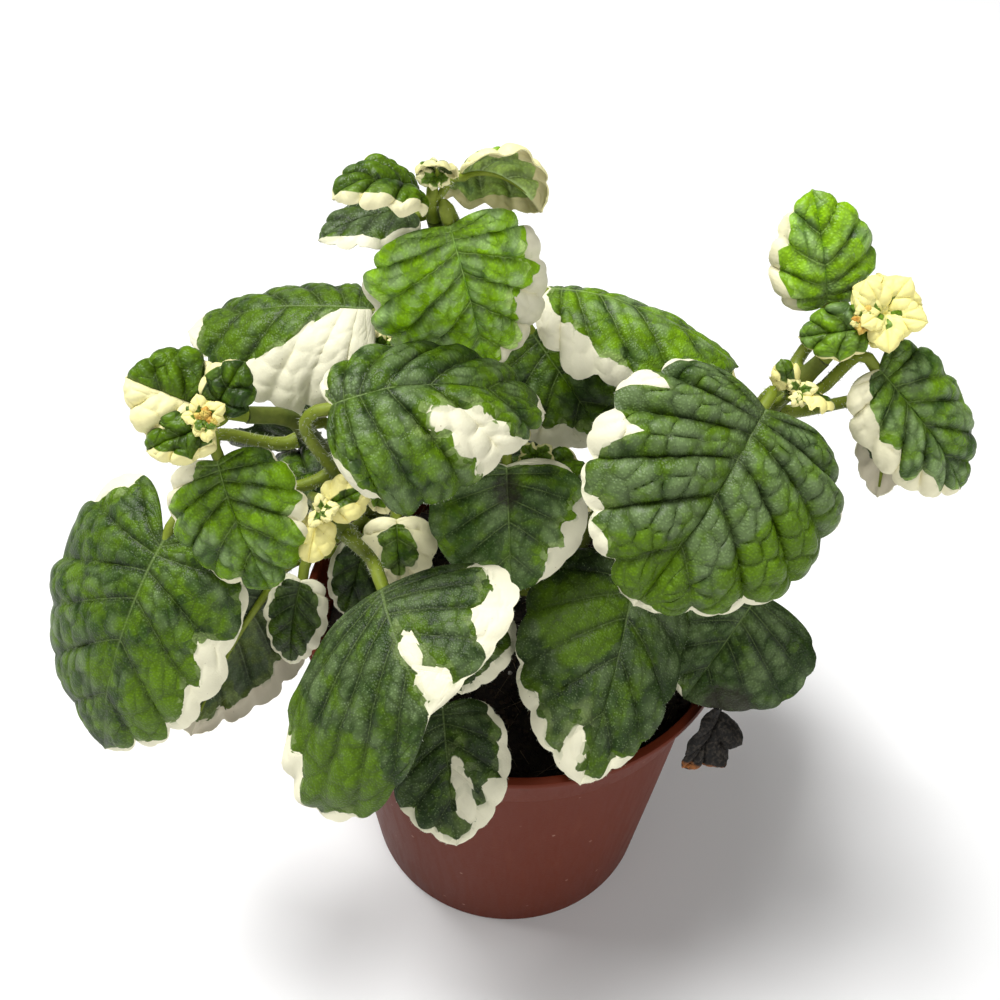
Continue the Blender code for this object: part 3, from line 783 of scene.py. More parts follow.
@dataclass(frozen=True)
class WitheredFinish:
    """A dead leaf: grey-black and papery, with a few patches that are still rusty orange."""

    name: str = "withered_leaf"
    black: tuple = (0.010, 0.009, 0.008)
    grey: tuple = (0.045, 0.038, 0.030)
    rust: tuple = (0.34, 0.115, 0.022)
    relief: tuple = (1.0, 0.4)
    specular: float = 0.2

    def material(self) -> Material:
        """Build the material, which follows the piece's own place."""
        material, w, shader = new_material(self.name)
        place = w.own_place()
        broad, fine = w.noise(place, 0.22, 4.0)[0], w.noise(place, 1.4, 4.0)[0]
        colour = w.mix(w.ramp(fine, 0.42, 0.7), rgba(self.black), rgba(self.grey))
        low = w.ramp(w.line(broad, 9.0, w.parts(place)[2]), 91.5, 89.5)
        colour = w.mix(w.times(low, w.ramp(fine, 0.35, 0.5)), colour, rgba(self.rust))
        w.dress(shader, colour, w.line(fine, 0.3, 0.5), fine, self.relief, self.specular)
        return material


@dataclass
class Paints:
    """All the plant's materials, built once."""

    upper: Material = None
    under: Material = None
    stalk: Material = None
    stem: Material = None
    fuzz: Material = None
    bud: Material = None
    peat: Material = None
    crumb: Material = None
    fibre: Material = None
    grit: Material = None
    dry: Material = None
    pot: Material = None
    floor: Material = None

    def build(self) -> "Paints":
        """Build every material.

        Returns:
            The paints themselves.
        """
        blades, mottles = BladePattern().build(), mottle_group()
        self.upper = BladeFinish("blade_upper").material(blades)
        # The underside is paler green; its cream and yellow are darker and greyer than above,
        # partly the underside's own tone and partly painted shade.
        self.under = BladeFinish(
            "blade_under", deep=(0.052, 0.082, 0.030), bright=(0.105, 0.150, 0.030),
            grey=(0.085, 0.110, 0.058), cream=(0.66, 0.60, 0.46), yellow=(0.66, 0.60, 0.22),
            vein=(0.22, 0.28, 0.14), fuzz=0.25, vein_strength=0.6, bump=0.5, specular=0.2,
        ).material(blades)
        plain = {
            "stalk": PlainFinish("stalk_skin", (0.15, 0.20, 0.012), (0.21, 0.26, 0.030),
                                 roughness=0.55),
            "stem": PlainFinish("stem_skin", (0.075, 0.105, 0.012), (0.12, 0.145, 0.022),
                                roughness=0.6),
            "fuzz": PlainFinish("pale_hair", (0.62, 0.66, 0.5), (0.5, 0.55, 0.4), 2.0,
                                roughness=0.5, bump=0.0),
            "bud": PlainFinish("bud_scale", (0.55, 0.27, 0.04), (0.66, 0.52, 0.12), 1.5,
                               roughness=0.6),
            "peat": PlainFinish("potting_soil", (0.008, 0.006, 0.005), (0.022, 0.015, 0.010),
                                3.0, 0.5, roughness=0.9, bump=0.5),
            "crumb": PlainFinish("soil_crumb", (0.012, 0.008, 0.006), (0.040, 0.026, 0.016),
                                 4.0, 0.6, roughness=0.95, bump=0.4),
            "fibre": PlainFinish("peat_fibre", (0.16, 0.12, 0.075), (0.07, 0.05, 0.03), 6.0,
                                 roughness=0.8),
            "grit": PlainFinish("pale_grit", (0.55, 0.53, 0.48), (0.35, 0.33, 0.29), 2.0,
                                roughness=0.85, bump=0.3),
            "floor": PlainFinish("studio_floor", (0.88, 0.88, 0.875), (0.87, 0.87, 0.865), 400.0,
                                 40.0, roughness=0.8, bump=0.0, contrast=0.02),
        }
        for name, finish in plain.items():
            setattr(self, name, finish.material(mottles))
        self.pot = PotFinish().material()
        self.dry = WitheredFinish().material()
        return self


# ---- Leaves


@dataclass(frozen=True)
class Patch:
    """A roundish part of a flat blade: its middle, from the base, and its reach both ways."""

    along: float
    right: float
    reach: float
    width: float

    def depth(self, x: Array, y: Array) -> Array:
        """Return how far inside the patch points lie, in millimetres, negative outside it."""
        radius = np.hypot((x - self.along) / self.reach, (y - self.right) / self.width)
        return (1.0 - radius) * min(self.reach, self.width)


@dataclass(frozen=True)
class Marking:
    """A blade's markings.

    right and left give the depth of each half's cream margin, each as pairs of a share of the
    edge, from 0 at the base to 1 at the tip, and a depth in millimetres. The patches add cream,
    green, bright green and dark stains. light and grey are the shares of bright and of grey
    green; the grey green is partly the leaf's own grey-green and partly a painted sheen. youth
    says how yellow the cream is, grain how ragged its edge, fuzz how hairy the blade looks, and
    tone how light its green is.
    """

    right: tuple = ((0.0, 0.1),)
    left: tuple = ((0.0, 0.1),)
    cream: tuple = ()
    green: tuple = ()
    bright: tuple = ()
    stain: tuple = ()
    light: float = 0.3
    grey: float = 0.35
    youth: float = 0.0
    grain: float = 1.0
    fuzz: float = 0.35
    tone: float = 1.0


@dataclass(frozen=True)
class LeafForm:
    """A leaf's sizes, with the meanings and the values that its solid has."""

    name: str
    stem: str
    height: float
    base: tuple
    tip: tuple
    facing: tuple
    width: float
    curl: float = 40.0
    fold: float = 6.0
    cup: float = 30.0
    wave: float = 0.8
    teeth: int = 6
    lobe: float = 0.13
    skew: float = 0.0
    fan: float = 0.0
    petiole: float = 1.3
    quilt: float = 1.0
    tooth: float = 1.0
    taper: float = 0.0
    rib: float = 0.55
    fine: float = 0.62
    marking: Marking = field(default_factory=Marking)

    def axes(self) -> tuple[Array, Array, Array]:
        """Return unit vectors along the chord, to the right and out of the upper face."""
        along = unit(np.subtract(self.tip, self.base).astype(float))
        right = unit(np.cross(along, direction(*self.facing)))
        return along, right, np.cross(right, along)

    def base_axes(self) -> tuple[Array, Array, Array]:
        """Return unit vectors at the base: along the midrib, up from it and to its right."""
        along, right, normal = self.axes()
        half = math.radians(self.curl) / 2
        set_out = math.cos(half) * along + math.sin(half) * normal
        return set_out, math.cos(half) * normal - math.sin(half) * along, right

    @property
    def length(self) -> float:
        """The blade's length along its midrib."""
        chord = np.linalg.norm(np.subtract(self.tip, self.base))
        half = math.radians(self.curl) / 2
        return float(chord * half / math.sin(half))


class Blade:
    """The blade of one leaf, from its flat outline to its bent, quilted and marked mesh."""

    SHOULDER = (0.36, 0.5)
    BASE_ARC = ((0.0, 0.0), (0.0, 0.24), (0.02, 0.5), SHOULDER)
    TIP_ARC = (SHOULDER, (0.68, 0.5), (0.93, 0.24), (1.0, 0.0))
    WIDEST = 0.46
    OUTLINE_CENTRE = 0.42
    SMOOTH_BASE = 0.16
    TOOTH_DEPTH = 0.085
    TOOTH_SIZES = (0.65, 1.3)
    MINOR_TOOTH = 0.22
    VEIN_START, VEIN_SWEEP, VEIN_ARCH = 0.1, 3.0, 1.2
    TIP_CROWDING = 0.25
    WAVE_COUNT = 2.5
    FIRST_TEETH, LAST_TEETH = 8.0, 12.0
    THICKNESS, EDGE_THICKNESS = 0.6, 0.45
    SIDE_PUFF, CELL_PUFF = 0.26, 0.115
    CELL_ROUND = 0.2
    CELL_SIZE = 4.6
    CELL_TABLE = (64, 16)
    CELL_JITTER = 0.4
    TAPER_START = 0.15
    LUMP_SPAN, LUMP = 6, 0.3
    SKIN_SPAN, SKIN = 2, 0.04
    MIDRIB_REACH = 0.055
    RIM_POWER = 10
    PATCH_SPREAD = 6.0
    ROW_SPAN, COLUMN_SPAN = 1.25, 1.2
    SEED_STEP = 17.3
    CLEAN_RIM = -0.55
    WIDE_PITCH = 8.0
    MIDRIB_FOLD = 0.9

    def __init__(self, form: LeafForm, seed: int) -> None:
        """Lay out the blade's grid.

        Args:
            form: The leaf's sizes.
            seed: The leaf's own number, which varies its teeth, creases and mosaic.
        """
        self.form = form
        self.seed = seed
        self.random = np.random.default_rng(BLADE_SEED + seed)
        self.rows = max(16, round(form.length * self.ROW_SPAN / form.fine))
        self.columns = max(6, round(form.width / 2 * self.COLUMN_SPAN / form.fine))
        share = np.linspace(0, 1, self.rows + 1)
        share = share + self.TIP_CROWDING * share * (1 - share)
        across = np.linspace(-1, 1, 2 * self.columns + 1)
        self.share, self.across = (grid.ravel() for grid in np.meshgrid(share, across))
        self.tooth_jitter = self.random.uniform(*self.TOOTH_SIZES, (2, form.teeth + 1))
        self.x, self.y = self.flat(self.share, self.across)

    def outline(self, share: Array, right_half: Array) -> Array:
        """Return the flat edge with its teeth, x along the midrib and y out, in millimetres.

        Args:
            share: How far along the edge each point is, from the base to the tip.
            right_half: Whether each point is on the right half, whose teeth differ.

        Returns:
            One row of x and y for each share.
        """
        form = self.form
        start, heel, flank, shoulder = self.BASE_ARC
        early = (start, (heel[0] - form.lobe, heel[1]), (flank[0] - form.lobe / 4, flank[1]),
                 shoulder)
        early = bezier(early, np.clip(share / self.WIDEST, 0, 1))
        late = bezier(self.TIP_ARC, np.clip((share - self.WIDEST) / (1 - self.WIDEST), 0, 1))
        edge = np.where((share < self.WIDEST)[:, None], early, late)
        toothed = np.clip((share - self.SMOOTH_BASE) / (1 - self.SMOOTH_BASE), 0, 1)
        phase = toothed * form.teeth
        notch = 1 - np.abs(np.sin(math.pi * phase))
        nearest = np.clip(np.round(phase).astype(int), 0, form.teeth)
        notch = notch**1.3 * self.tooth_jitter[right_half.astype(int), nearest]
        minor = 1 - np.abs(np.sin(2 * math.pi * phase))
        notch = notch + self.MINOR_TOOTH * minor**1.6
        notch = notch * np.clip(toothed * self.FIRST_TEETH, 0, 1)
        notch = notch * np.clip((1 - toothed) * self.LAST_TEETH, 0, 1) * form.tooth
        centre = np.array([self.OUTLINE_CENTRE, 0.0])
        edge = centre + (edge - centre) * (1 - self.TOOTH_DEPTH * notch)[:, None]
        return edge * np.array([form.length, form.width])

    def midrib(self, share: Array) -> Array:
        """Return how far along the midrib each row sets out, in millimetres."""
        swept = (1 - self.VEIN_START) * share**self.VEIN_SWEEP
        return self.form.length * (self.VEIN_START * share + swept)

    def flat(self, share: Array, across: Array) -> tuple[Array, Array]:
        """Return flat places: rows run out along the side veins, columns along the midrib.

        Args:
            share: How far along the blade each point's row is.
            across: How far out along its row each point is, from -1 left to 1 right.

        Returns:
            x along the midrib and y to its right, in millimetres.
        """
        form = self.form
        edge = self.outline(share, across > 0)
        midrib = self.midrib(share)
        y = edge[:, 1] * across * (1 + form.skew * np.sign(across))
        far = smooth_step(edge[:, 0] / form.length - self.TAPER_START)
        y = y * (1 - form.taper * (y > 0) * far)
        x = midrib + (edge[:, 0] - midrib) * np.abs(across) ** self.VEIN_ARCH
        return x + form.fan * share * np.maximum(y, 0), y

    @staticmethod
    def arc(bend: float, start: float, distance: Array) -> tuple[Array, Array]:
        """Return travel forward and up along arcs that set out at an angle and turn down."""
        bend = bend if abs(bend) > 1e-6 else 1e-6
        end = start - bend * distance
        return (np.sin(start) - np.sin(end)) / bend, (np.cos(end) - np.cos(start)) / bend

    def bent(self, x: Array, y: Array) -> Array:
        """Return where flat places lie once the blade is bent.

        Args:
            x: How far along the midrib each place is, in millimetres.
            y: How far to its right.

        Returns:
            Places around the pot's axis, one row each.
        """
        form = self.form
        along, right, normal = form.axes()
        length, half = form.length, form.width / 2
        curl = math.radians(form.curl)
        forward, lift = self.arc(curl / length, curl / 2, x)
        lean = curl / 2 - curl * x / length
        rise = np.cos(lean)[:, None] * normal - np.sin(lean)[:, None] * along
        out, up = self.arc(math.radians(form.cup) / half, math.radians(form.fold), np.abs(y))
        ripple = np.sin(2 * math.pi * (self.WAVE_COUNT * x / length + 0.25 * np.sign(y)))
        up = up + form.wave * (y / half) ** 2 * ripple
        return (
            np.array(form.base, float)
            + forward[:, None] * along
            + lift[:, None] * normal
            + (np.sign(y) * out)[:, None] * right
            + up[:, None] * rise
        )

    def normals(self, x: Array, y: Array) -> Array:
        """Return the upper face's unit normals at flat places."""
        step = 0.2
        ahead = self.bent(x + step, y) - self.bent(x - step, y)
        beside = self.bent(x, y + step) - self.bent(x, y - step)
        return units(np.cross(beside, ahead))

    def veins(self) -> tuple[Array, Array]:
        """Return each grid point's place among the side veins and the distance between them.

        Returns:
            The phase, a whole number on each side vein, and their pitch in millimetres.
        """
        form, step = self.form, 0.01
        phase = (self.share - self.SMOOTH_BASE) / (1 - self.SMOOTH_BASE) * form.teeth
        low, high = np.clip(self.share - step, 0, 1), np.clip(self.share + step, 0, 1)
        near, far = self.flat(low, self.across), self.flat(high, self.across)
        along = np.stack([far[0] - near[0], far[1] - near[1]], -1) / (high - low)[:, None]
        inner, outer = self.across * 0.98, self.across * 1.02 + 1e-6
        near, far = self.flat(self.share, inner), self.flat(self.share, outer)
        row = units(np.stack([far[0] - near[0], far[1] - near[1]], -1))
        spread = np.abs(along[:, 0] * row[:, 1] - along[:, 1] * row[:, 0])
        return phase, spread * (1 - self.SMOOTH_BASE) / form.teeth

    def creases(self, phase: Array, pitch: Array) -> Array:
        """Return the distance in millimetres from each grid point to the nearest small vein.

        The small veins part the blade between its side veins into uneven cells.

        Args:
            phase: Each point's place among the side veins.
            pitch: The distance between side veins there, in millimetres.

        Returns:
            One distance for each point.
        """
        reach = np.hypot(self.x - self.midrib(self.share), self.y)
        row_length = np.maximum(reach / np.maximum(np.abs(self.across), 0.05), 1.0)
        count = max(2, round(self.form.width / 2 / self.CELL_SIZE))
        rows, columns = self.CELL_TABLE
        table = self.random.uniform(-self.CELL_JITTER, self.CELL_JITTER, (2, rows, columns, 2))
        half = (self.across > 0).astype(int)
        a, b = phase * 2.0, np.abs(self.across) * count
        cell_a, cell_b = np.floor(a).astype(int), np.floor(b).astype(int)
        distances = []
        for step_a in (-1, 0, 1):
            for step_b in (-1, 0, 1):
                i, j = cell_a + step_a, cell_b + step_b
                jitter = table[half, i % rows, j % columns]
                da = (i + 0.5 + jitter[:, 0] - a) * pitch / 2
                db = (j + 0.5 + jitter[:, 1] - b) * row_length / count
                distances.append(np.hypot(da, db))
        distances = np.sort(np.array(distances), axis=0)
        return (distances[1] - distances[0]) / 2

    @staticmethod
    def pillow(share: Array) -> Array:
        """Return a plump profile that rises steeply from 0 at a groove to 1 at a share of 1."""
        return (1 - (1 - np.clip(share, 0, 1)) ** 2) ** 0.65

    def relief(self, phase: Array, pitch: Array, crease: Array) -> Array:
        """Return how far the blade puffs up between its veins.

        Args:
            phase: Each point's place among the side veins.
            pitch: The distance between side veins there, in millimetres.
            crease: The distance to the nearest small vein.

        Returns:
            One height for each point, in millimetres.
        """
        pitch = np.clip(pitch, 0.0, self.WIDE_PITCH)
        fold = np.abs(phase - np.round(phase)) * 2
        from_midrib = 1 - np.exp(-np.abs(self.y) / (self.MIDRIB_REACH * self.form.width))
        large = self.SIDE_PUFF * pitch * self.pillow(fold)
        small = self.CELL_PUFF * pitch * self.pillow(crease / (self.CELL_ROUND * pitch + 0.05))
        edge = 1 - np.abs(self.across) ** self.RIM_POWER
        x, y, seed = self.x, self.y, 0 * self.x + self.seed
        lumps, skin = (lattice_noise(np.stack([x / span, y / span, seed], -1), kind) for span, kind
                       in ((self.LUMP_SPAN, BLADE_LUMPS), (self.SKIN_SPAN, BLADE_SKIN)))
        height = (large + small - 0.5 * self.SIDE_PUFF * pitch) * from_midrib * edge
        height = height + self.MIDRIB_FOLD * from_midrib * (1 - self.across**2)
        return self.form.quilt * (height + self.LUMP * lumps + self.SKIN * skin)

    def cream_depth(self) -> tuple[Array, Array]:
        """Return how deep in the cream part each grid point lies and how ragged its edge is.

        Returns:
            The depth in millimetres, and a share from 0 for a clean rim to 1.
        """
        marking = self.form.marking
        edge_x, edge_y = self.flat(self.share, np.where(self.across > 0, 1.0, -1.0))
        inside = np.hypot(self.x - edge_x, self.y - edge_y)
        depth, ragged = np.zeros(len(self.x)), np.zeros(len(self.x))
        for half in Half:
            knots = np.array(marking.right if half is Half.RIGHT else marking.left, float)
            margin = self.CLEAN_RIM + np.interp(self.share, knots[:, 0], knots[:, 1])
            chosen = np.sign(self.across + 1e-9) == half.value
            depth[chosen] = (margin - inside)[chosen]
            ragged[chosen] = smooth_step((margin - 0.5) / 2.2)[chosen]
        for patch in marking.cream:
            local = patch.depth(self.x, self.y)
            depth = np.maximum(depth, local)
            ragged = np.maximum(ragged, smooth_step((local + 3.0) / 2.0))
        for patch in marking.green:
            depth = np.minimum(depth, -patch.depth(self.x, self.y))
        return depth, ragged * marking.grain

    def spread_of(self, patches: tuple) -> Array:
        """Return 1 inside patches, eased to 0 a few millimetres outside them."""
        total = np.zeros(len(self.x))
        for patch in patches:
            nearness = patch.depth(self.x, self.y) / self.PATCH_SPREAD + 0.8
            total = np.maximum(total, smooth_step(nearness))
        return total

    def build(self, upper: Material, under: Material) -> Piece:
        """Build the blade: a flat grid, cut to its outline, bent, quilted, marked and thickened.

        Args:
            upper: The material of its upper side.
            under: The material of its underside.

        Returns:
            The blade.
        """
        form, marking = self.form, self.form.marking
        deselect_all()
        bpy.ops.mesh.primitive_grid_add(
            x_subdivisions=self.rows, y_subdivisions=2 * self.columns, size=MM * form.length,
        )
        blade = bpy.context.object
        blade.name = form.name
        points = get_points(blade)
        order = np.lexsort((np.round(points[:, 0] / MM, 4), np.round(points[:, 1] / MM, 4)))
        sheet = np.empty(len(order), int)
        sheet[order] = np.arange(len(order))
        flip = (2 * self.columns - sheet // (self.rows + 1)) * (self.rows + 1)
        pick = flip + sheet % (self.rows + 1)
        phase, pitch = self.veins()
        crease = self.creases(phase, pitch)
        rise = self.relief(phase, pitch, crease)
        places = self.bent(self.x, self.y) + self.normals(self.x, self.y) * rise[:, None]
        set_points(blade, to_row(places)[pick])
        rib = form.rib * (1.05 - self.share) + 0.1
        cream, ragged = self.cream_depth()
        stored = {
            "cream": cream,
            "bright": np.maximum(self.spread_of(marking.bright), marking.light),
            "stain": self.spread_of(marking.stain), "grain": ragged,
            "grey": marking.grey, "youth": marking.youth, "fuzz": marking.fuzz,
            "tone": marking.tone, "seed": self.seed * self.SEED_STEP,
            "crease": crease, "pitch": pitch, "rib": rib,
            "swell": self.pillow(np.abs(phase - np.round(phase)) * 2) * smooth_step(
                crease / (self.CELL_ROUND * pitch + 0.05) + 0.3),
        }
        for name, values in stored.items():
            write_attribute(blade, name, np.broadcast_to(values, len(self.x))[pick])
        blade.data.uv_layers.remove(blade.data.uv_layers[0])
        flat = np.stack([self.x, self.y], -1) / FLAT_SPAN + (0.0, 0.5)
        write_uv(blade, FLAT_MAP, flat[pick])
        write_uv(blade, VEIN_MAP, np.stack([phase, np.abs(self.across)], -1)[pick])
        group = blade.vertex_groups.new(name="thick")
        inside = 1 - np.abs(self.across) ** self.RIM_POWER
        weight = self.EDGE_THICKNESS + (1 - self.EDGE_THICKNESS) * inside
        for number, value in enumerate(weight[pick]):
            group.add((number,), float(value), "REPLACE")
        blade.data.materials.append(upper)
        blade.data.materials.append(under)
        shell = blade.modifiers.new("thickness", "SOLIDIFY")
        shell.thickness = self.THICKNESS * MM
        shell.offset = 0.0
        shell.vertex_group = group.name
        shell.material_offset = 1
        shell.material_offset_rim = 0
        apply_modifiers(blade)
        blade.vertex_groups.clear()
        merge_doubles(blade, 0.01)
        return blade


class Tube:
    """A round, tapered tube along a route: a petiole, a stem or the axis of a shoot."""

    def __init__(self, route: Array, radii: Array) -> None:
        """Take a route in millimetres and the tube's radius at each of its points."""
        self.route = np.asarray(route, float)
        self.radii = np.asarray(radii, float)

    def build(self, name: str, material: Material, sides: int = 12) -> Piece:
        """Build the tube as a bevelled curve and turn it into a mesh.

        Args:
            name: The piece's name.
            material: Its material.
            sides: How many sides it has, a multiple of four.

        Returns:
            The tube.
        """
        deselect_all()
        curve = bpy.data.curves.new(name, "CURVE")
        curve.dimensions = "3D"
        curve.bevel_depth = MM
        curve.bevel_resolution = sides // 4 - 1
        curve.use_fill_caps = True
        spline = curve.splines.new("POLY")
        spline.points.add(len(self.route) - 1)
        for point, place, radius in zip(spline.points, to_row(self.route), self.radii):
            point.co = (*place, 1.0)
            point.radius = float(radius)
        curve.materials.append(material)
        activate(place_in_scene(name, curve))
        bpy.ops.object.convert(target="MESH")
        tube = bpy.context.object
        merge_doubles(tube, 0.001)
        return tube

    def surface(self, random: np.random.Generator, count: int, margin: float = 0.02) -> tuple:
        """Return random places on the tube's side.

        Args:
            random: Where the draws come from.
            count: How many places.
            margin: The share of its length left bare at both ends.

        Returns:
            The places in metres and the outward unit vectors there.
        """
        lengths = np.linalg.norm(np.diff(self.route, axis=0), axis=1)
        along = np.concatenate([[0.0], np.cumsum(lengths)])
        where = random.uniform(margin, 1 - margin, count) * along[-1]
        centre = np.stack([np.interp(where, along, places) for places in self.route.T], -1)
        slot = np.clip(np.searchsorted(along, where) - 1, 0, len(lengths) - 1)
        tangent = units(self.route[slot + 1] - self.route[slot])
        helper = np.tile([0.31, 0.2, 0.93], (count, 1))
        side = units(np.cross(tangent, helper))
        other = np.cross(tangent, side)
        turn = random.uniform(0, 2 * math.pi, (count, 1))
        outward = np.cos(turn) * side + np.sin(turn) * other
        radius = np.interp(where, along, self.radii)[:, None]
        return to_row(centre + outward * radius * 0.97), outward


@dataclass
class HairMaker:
    """Makes the plant's fine hairs, each a slender spike."""

    paints: Paints
    length: float = 0.85
    thickness: float = 0.05
    template: Piece = None

    def model(self) -> None:
        """Model the one hair that all are copied from."""
        deselect_all()
        bpy.ops.mesh.primitive_cone_add(
            vertices=3, radius1=MM, radius2=0.0, depth=MM, location=(0, 0, MM / 2),
        )
        self.template = bpy.context.object
        self.template.name = "hair_template"
        settle(self.template)
        self.template.data.materials.append(self.paints.fuzz)

    def grow(
        self, name: str, places: Array, outward: Array, random: np.random.Generator,
        scale: float = 1.0,
    ) -> Piece:
        """Grow one hair at each place.

        Args:
            name: The name of the new mesh.
            places: Where the hairs stand, in metres.
            outward: The direction out of the surface at each place.
            random: Where the draws come from.
            scale: The hairs' length against the usual one.

        Returns:
            All the hairs as one piece.
        """
        lean = random.normal(0, 0.35, outward.shape)
        axes = units(outward + lean)
        length = self.length * scale * random.uniform(0.5, 1.2, len(places))
        sizes = np.stack([np.full(len(places), self.thickness), length], -1)
        return scatter(self.template, name, places, axes, sizes)


@dataclass(frozen=True)
class StemForm:
    """A stem: where it stands in the soil, its route above, its radius at its foot and its end."""

    name: str
    foot: tuple
    route: tuple
    radius: float = 2.3
    end_radius: float = 1.7


@dataclass(frozen=True)
class Sprig:
    """A tuft of tiny leaves: its middle, their length and number, and how yellow they are.

    yellow is the share of each leaf that has no green, and youth how yellow that part is. A tuft
    on a stalk of its own has the place where that springs.
    """

    place: tuple
    size: float
    count: int
    yellow: float
    youth: float
    spring: tuple = ()
    budded: bool = False


@dataclass(frozen=True)
class ShootForm:
    """A young shoot: where it springs, where it ends, its radii and its small leaves."""

    name: str
    stem: str
    height: float | None
    end: tuple
    radius: float = 1.5
    end_radius: float = 0.9
    leaves: tuple = ()
    sprigs: tuple = ()


class Axis:
    """The middle line of a stem or shoot, with its headings and radii."""

    CLEARANCE = 0.3

    def __init__(self, route: Array, headings: Array, radii: Array) -> None:
        """Take the route's points in millimetres, its headings and its radii."""
        self.route, self.headings, self.radii = route, headings, radii

    def springing(self, height: float, end: Array, seat: float) -> tuple:
        """Return where a stalk springs from the axis and its first direction.

        Args:
            height: The height where it springs.
            end: The point that it makes for.
            seat: How far its foot lies from the axis's surface.

        Returns:
            Its foot and a unit vector.
        """
        heights = self.route[:, 2]
        centre = np.array([np.interp(height, heights, places) for places in self.route.T])
        segment = min(max(int(np.searchsorted(heights, height)), 1), len(self.route) - 1)
        tangent = unit(self.route[segment] - self.route[segment - 1])
        away = end - centre
        outward = unit(away - tangent * np.dot(away, tangent))
        radius = np.interp(height, heights, self.radii)
        return centre + outward * (radius + seat), outward


class Leaf:
    """One whole leaf: its blade and its petiole, which runs on under the blade as its midrib."""

    LEAD = 0.35
    REACH = 2.5
    RIB_END = 0.86
    MARGIN_HAIRS = 2.0
    STALK_HAIRS = 9.0
    MARGIN_SPAN = 2.2
    RIB_POINTS = 16

    def __init__(self, form: LeafForm, axis: Axis, seat: float, seed: int) -> None:
        """Lay out the leaf.

        Args:
            form: Its sizes.
            axis: The stem or shoot that it grows on.
            seat: How far its petiole's foot lies from the axis's surface.
            seed: Its own number.
        """
        self.form = form
        self.blade = Blade(form, seed)
        self.axis = axis
        self.seat = seat
        self.random = np.random.default_rng(LEAF_SEED + seed)

    def stalk(self) -> Tube:
        """Return the petiole and midrib as one tapering tube."""
        form = self.form
        set_out, _, _ = form.base_axes()
        end = np.array(form.base, float) - set_out * form.petiole * self.REACH
        foot, outward = self.axis.springing(form.height, end, self.seat)
        lead = self.LEAD * np.linalg.norm(end - foot)
        count = max(6, round(np.linalg.norm(end - foot) / 2.0))
        free = bezier((foot, foot + outward * lead, end - set_out * lead, end),
                      np.linspace(0, 1, count))
        swell = 1 + 0.3 * np.exp(-np.linspace(0, 1, count) * 9)
        free_radii = form.petiole * swell * np.linspace(1.0, 0.94, count)
        share = np.linspace(0.0, self.RIB_END, self.RIB_POINTS)
        rib_radii = form.petiole * (0.92 - 0.80 * share**0.6)
        x = form.length * share
        zero = np.zeros(len(x))
        sink = rib_radii * 0.9 + 0.05
        rib = self.blade.bent(x, zero + 1e-4) - self.blade.normals(x, zero) * sink[:, None]
        return Tube(np.concatenate([free, rib]), np.concatenate([free_radii, rib_radii]))

    def margin_places(self, count: int) -> tuple[Array, Array]:
        """Return random places on the blade's margin and the directions out of it."""
        share = self.random.uniform(0.05, 0.97, count)
        side = np.where(self.random.uniform(size=count) < 0.5, 1.0, -1.0)
        x, y = self.blade.flat(share, side * 0.995)
        inner_x, inner_y = self.blade.flat(share, side * 0.9)
        edge, inner = self.blade.bent(x, y), self.blade.bent(inner_x, inner_y)
        return to_row(edge), units(edge - inner)

    def build(self, paints: Paints, hairs: HairMaker | None, material: object = None) -> list:
        """Build the leaf's meshes.

        Args:
            paints: The materials.
            hairs: What makes its hairs, or None for a leaf without any.
            material: A material in place of the usual two, or None.

        Returns:
            Its blade, its stalk and its hairs, still to be joined.
        """
        form = self.form
        blade = self.blade.build(material or paints.upper, material or paints.under)
        stalk = self.stalk()
        pieces = [blade, stalk.build(form.name + "_stalk", material or paints.stalk)]
        if hairs:
            bare = Tube(stalk.route[:-self.RIB_POINTS], stalk.radii[:-self.RIB_POINTS])
            span = np.linalg.norm(np.diff(bare.route, axis=0), axis=1).sum()
            places, outward = bare.surface(self.random, round(span * self.STALK_HAIRS), 0.0)
            pieces.append(hairs.grow("stalk_hairs", places, outward, self.random))
            count = round(form.length * self.MARGIN_SPAN * self.MARGIN_HAIRS)
            edge = self.margin_places(count)
            pieces.append(hairs.grow("margin_hairs", *edge, self.random, 0.7))
        return pieces


def even(*depths: float) -> tuple:
    """Return a margin's pairs of share and depth for depths at even steps from base to tip."""
    return tuple(zip(np.linspace(0, 1, len(depths)).tolist(), depths))


def margin(*numbers: float) -> tuple:
    """Return a margin's pairs of share and depth from percents and millimetres in turn."""
    return tuple((percent / 100, depth) for percent, depth in zip(numbers[::2], numbers[1::2]))


CREAM_ALL = even(30.0, 30.0)
YOUNG_MARKS = Marking(
    right=even(2.6, 2.4, 1.4, 2.0, 1.6), left=even(2.2, 1.2, 2.0, 1.2, 1.2), youth=0.7,
    grain=0.35, light=0.62, grey=0.0, fuzz=0.2, tone=1.5,
)

STEMS = (
    StemForm("stem_top", (-4, 7), ((-7, 13, 118), (-12, 13, 165), (-17, 9, 184), (-19, 4, 196))),
    StemForm("stem_right", (11, 3), ((24, 3, 115), (42, -3, 148), (50, -5, 162), (57, -5, 173))),
    StemForm("stem_left", (-16, 2),
             ((-33, -2, 122), (-43, -8, 148), (-47, -14, 161), (-54, -19, 166))),
    StemForm("stem_front_left", (-10, -9), ((-21, -14, 108), (-38, -15, 130), (-43, -18, 142))),
    StemForm("stem_front", (4, -9), ((4, -11, 110), (0, -8, 138))),
    StemForm("stem_back_right", (13, 15), ((24, 28, 108), (30, 34, 124))),
    StemForm("stem_back_left", (-13, 16), ((-26, 30, 108), (-32, 38, 124))),
)

